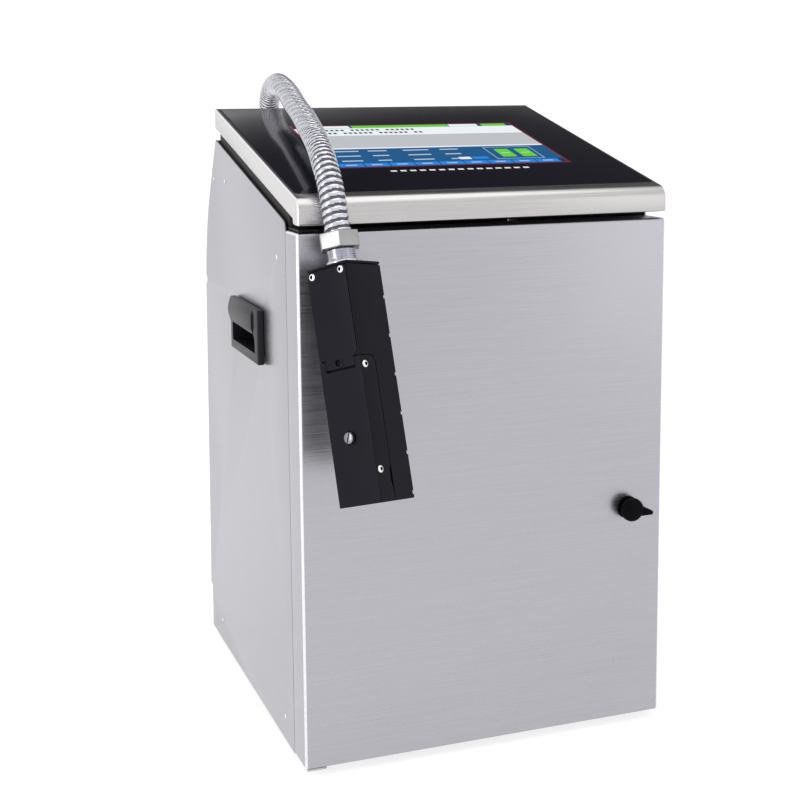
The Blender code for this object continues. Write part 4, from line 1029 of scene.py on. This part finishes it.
def head_union():
    """The threaded neck and the hexagonal nut that clamp the conduit."""
    profile = [(7.0, 0.3), (12.5, 0.3), (12.6, 0.9), (12.6, 2.9), (12.1, 3.4)]
    for ring in range(THREADS):
        profile += [(10.7, 3.9 + THREAD_PITCH * ring), (11.5, 4.6 + THREAD_PITCH * ring)]
    profile += [(10.7, 12.6), (7.0, 12.6)]
    put(lathe(profile, sides=56), "union_neck", CHROME, "printhead", HEAD, ("gland_neck",), 60)
    outline = arc((0, 0), NUT_RADIUS, 12, 312, 5)
    nut = prism(outline, 12.9, 25.6, "Z", 0.8, 3)
    profile = [(0, 12.0), (15.6, 12.0), (17.6, 13.9), (17.6, 24.2), (15.4, 26.5), (0, 26.5)]
    carve(nut, lathe(profile, sides=72), operation="INTERSECT")
    carve(nut, lathe([(0, 5), (9.3, 5), (9.3, 30), (0, 30)], sides=48))
    put(nut, "union_nut", NUT_METAL, "printhead", HEAD, ("gland_nut",), 40)


# ---------------------------------------------------------------- inside and rear

CAP_RIBS = 24
CAP_RIM = 19.2                # radius on which the grooves between the ribs are cut


def tank_cap(node, finish, body):
    """A bottle's screw cap with a ribbed skirt."""
    low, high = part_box(node)
    centre = (low + high) / 2
    profile = [(0, 13.2), (14.6, 13.2), (14.6, 0.8), (18.6, 0.8), (18.9, 1.2), (18.9, 15.6), (18.2, 16.8),
               (16.8, 17.4), (0, 17.4)]
    cap = lathe(profile, sides=60)
    for rib in range(CAP_RIBS):
        angle = 2 * pi * rib / CAP_RIBS
        place = (CAP_RIM * cos(angle), CAP_RIM * sin(angle), 0)
        carve(cap, lathe([(0, 2), (0.9, 2), (0.9, 15.4), (0, 15.4)], at=place, sides=10))
    put(cap, node + "_screw_top", finish, body,
        Matrix.Translation((centre.x, centre.y, low.z - 0.8 * MM)), (node,))


def inner_parts():
    """What the lower cover of the printhead and the cabinet hide."""
    for node in ("drop_generator", "gutter_block"):
        refined(node, ZINC, 0.25)
    for node in ("left_deflection_plate", "right_deflection_plate"):
        refined(node, NICKEL, 0.2)
    refined("charge_electrode", BLACK_PLASTIC, 0.25)
    for node, width in (("ink_tank", 0.8), ("makeup_tank", 0.8), ("main_filter", 0.3)):
        refined(node, POLYETHYLENE, width, 3)
    for node in ("filter_hose", "valve_hose"):
        refined(node, HOSE_PLASTIC, 0)
    for node in ("ink_pump", "valve_block", "power_supply", "display_module"):
        refined(node, ZINC, 0.5)
    refined("controller_board", BOARD_GREEN, 0.2)
    tank_cap("ink_tank_cap", BLACK_PLASTIC, "ink_cap")
    tank_cap("makeup_tank_cap", RUBBER, "makeup_cap")


def rear_parts():
    """The fan, the mains inlet, the sockets and the conduit's gland on the rear panel."""
    refined("fan_housing", BLACK_PLASTIC, 0.4)
    refined("fan_rotor", BLACK_PLASTIC, 0.3)
    refined("power_module", BLACK_PLASTIC, 0.35)
    refined("power_switch", KNOB_PLASTIC, 0.5)
    refined("io_sockets", NICKEL, 0.3)
    x, _, z = TAIL_POINTS[0]
    profile = [(11.0, 27.4), (14.4, 27.4), (15.2, 26.2), (16.5, 20.0), (16.5, 15.6), (15.4, 15.0),
               (15.4, 13.8), (16.5, 13.2), (16.5, 1.8), (13.0, 1.8), (13.0, -8.0), (11.0, -8.0)]
    gland = lathe(profile, "Y", (x, REAR_FACE - SHEET, z), 56)
    put(gland, "rear_gland_body", NICKEL, "root", stands_for=("rear_gland",))


camera()
studio()
conduit()
floor_plane()
cabinet()
door()
cabinet_screws()
lid()
screen()
glass_dashes()
handle("left")
handle("right")
feet()
latch()
head_body()
head_upper_plate()
head_lower_shell()
head_screws()
head_union()
inner_parts()
rear_parts()
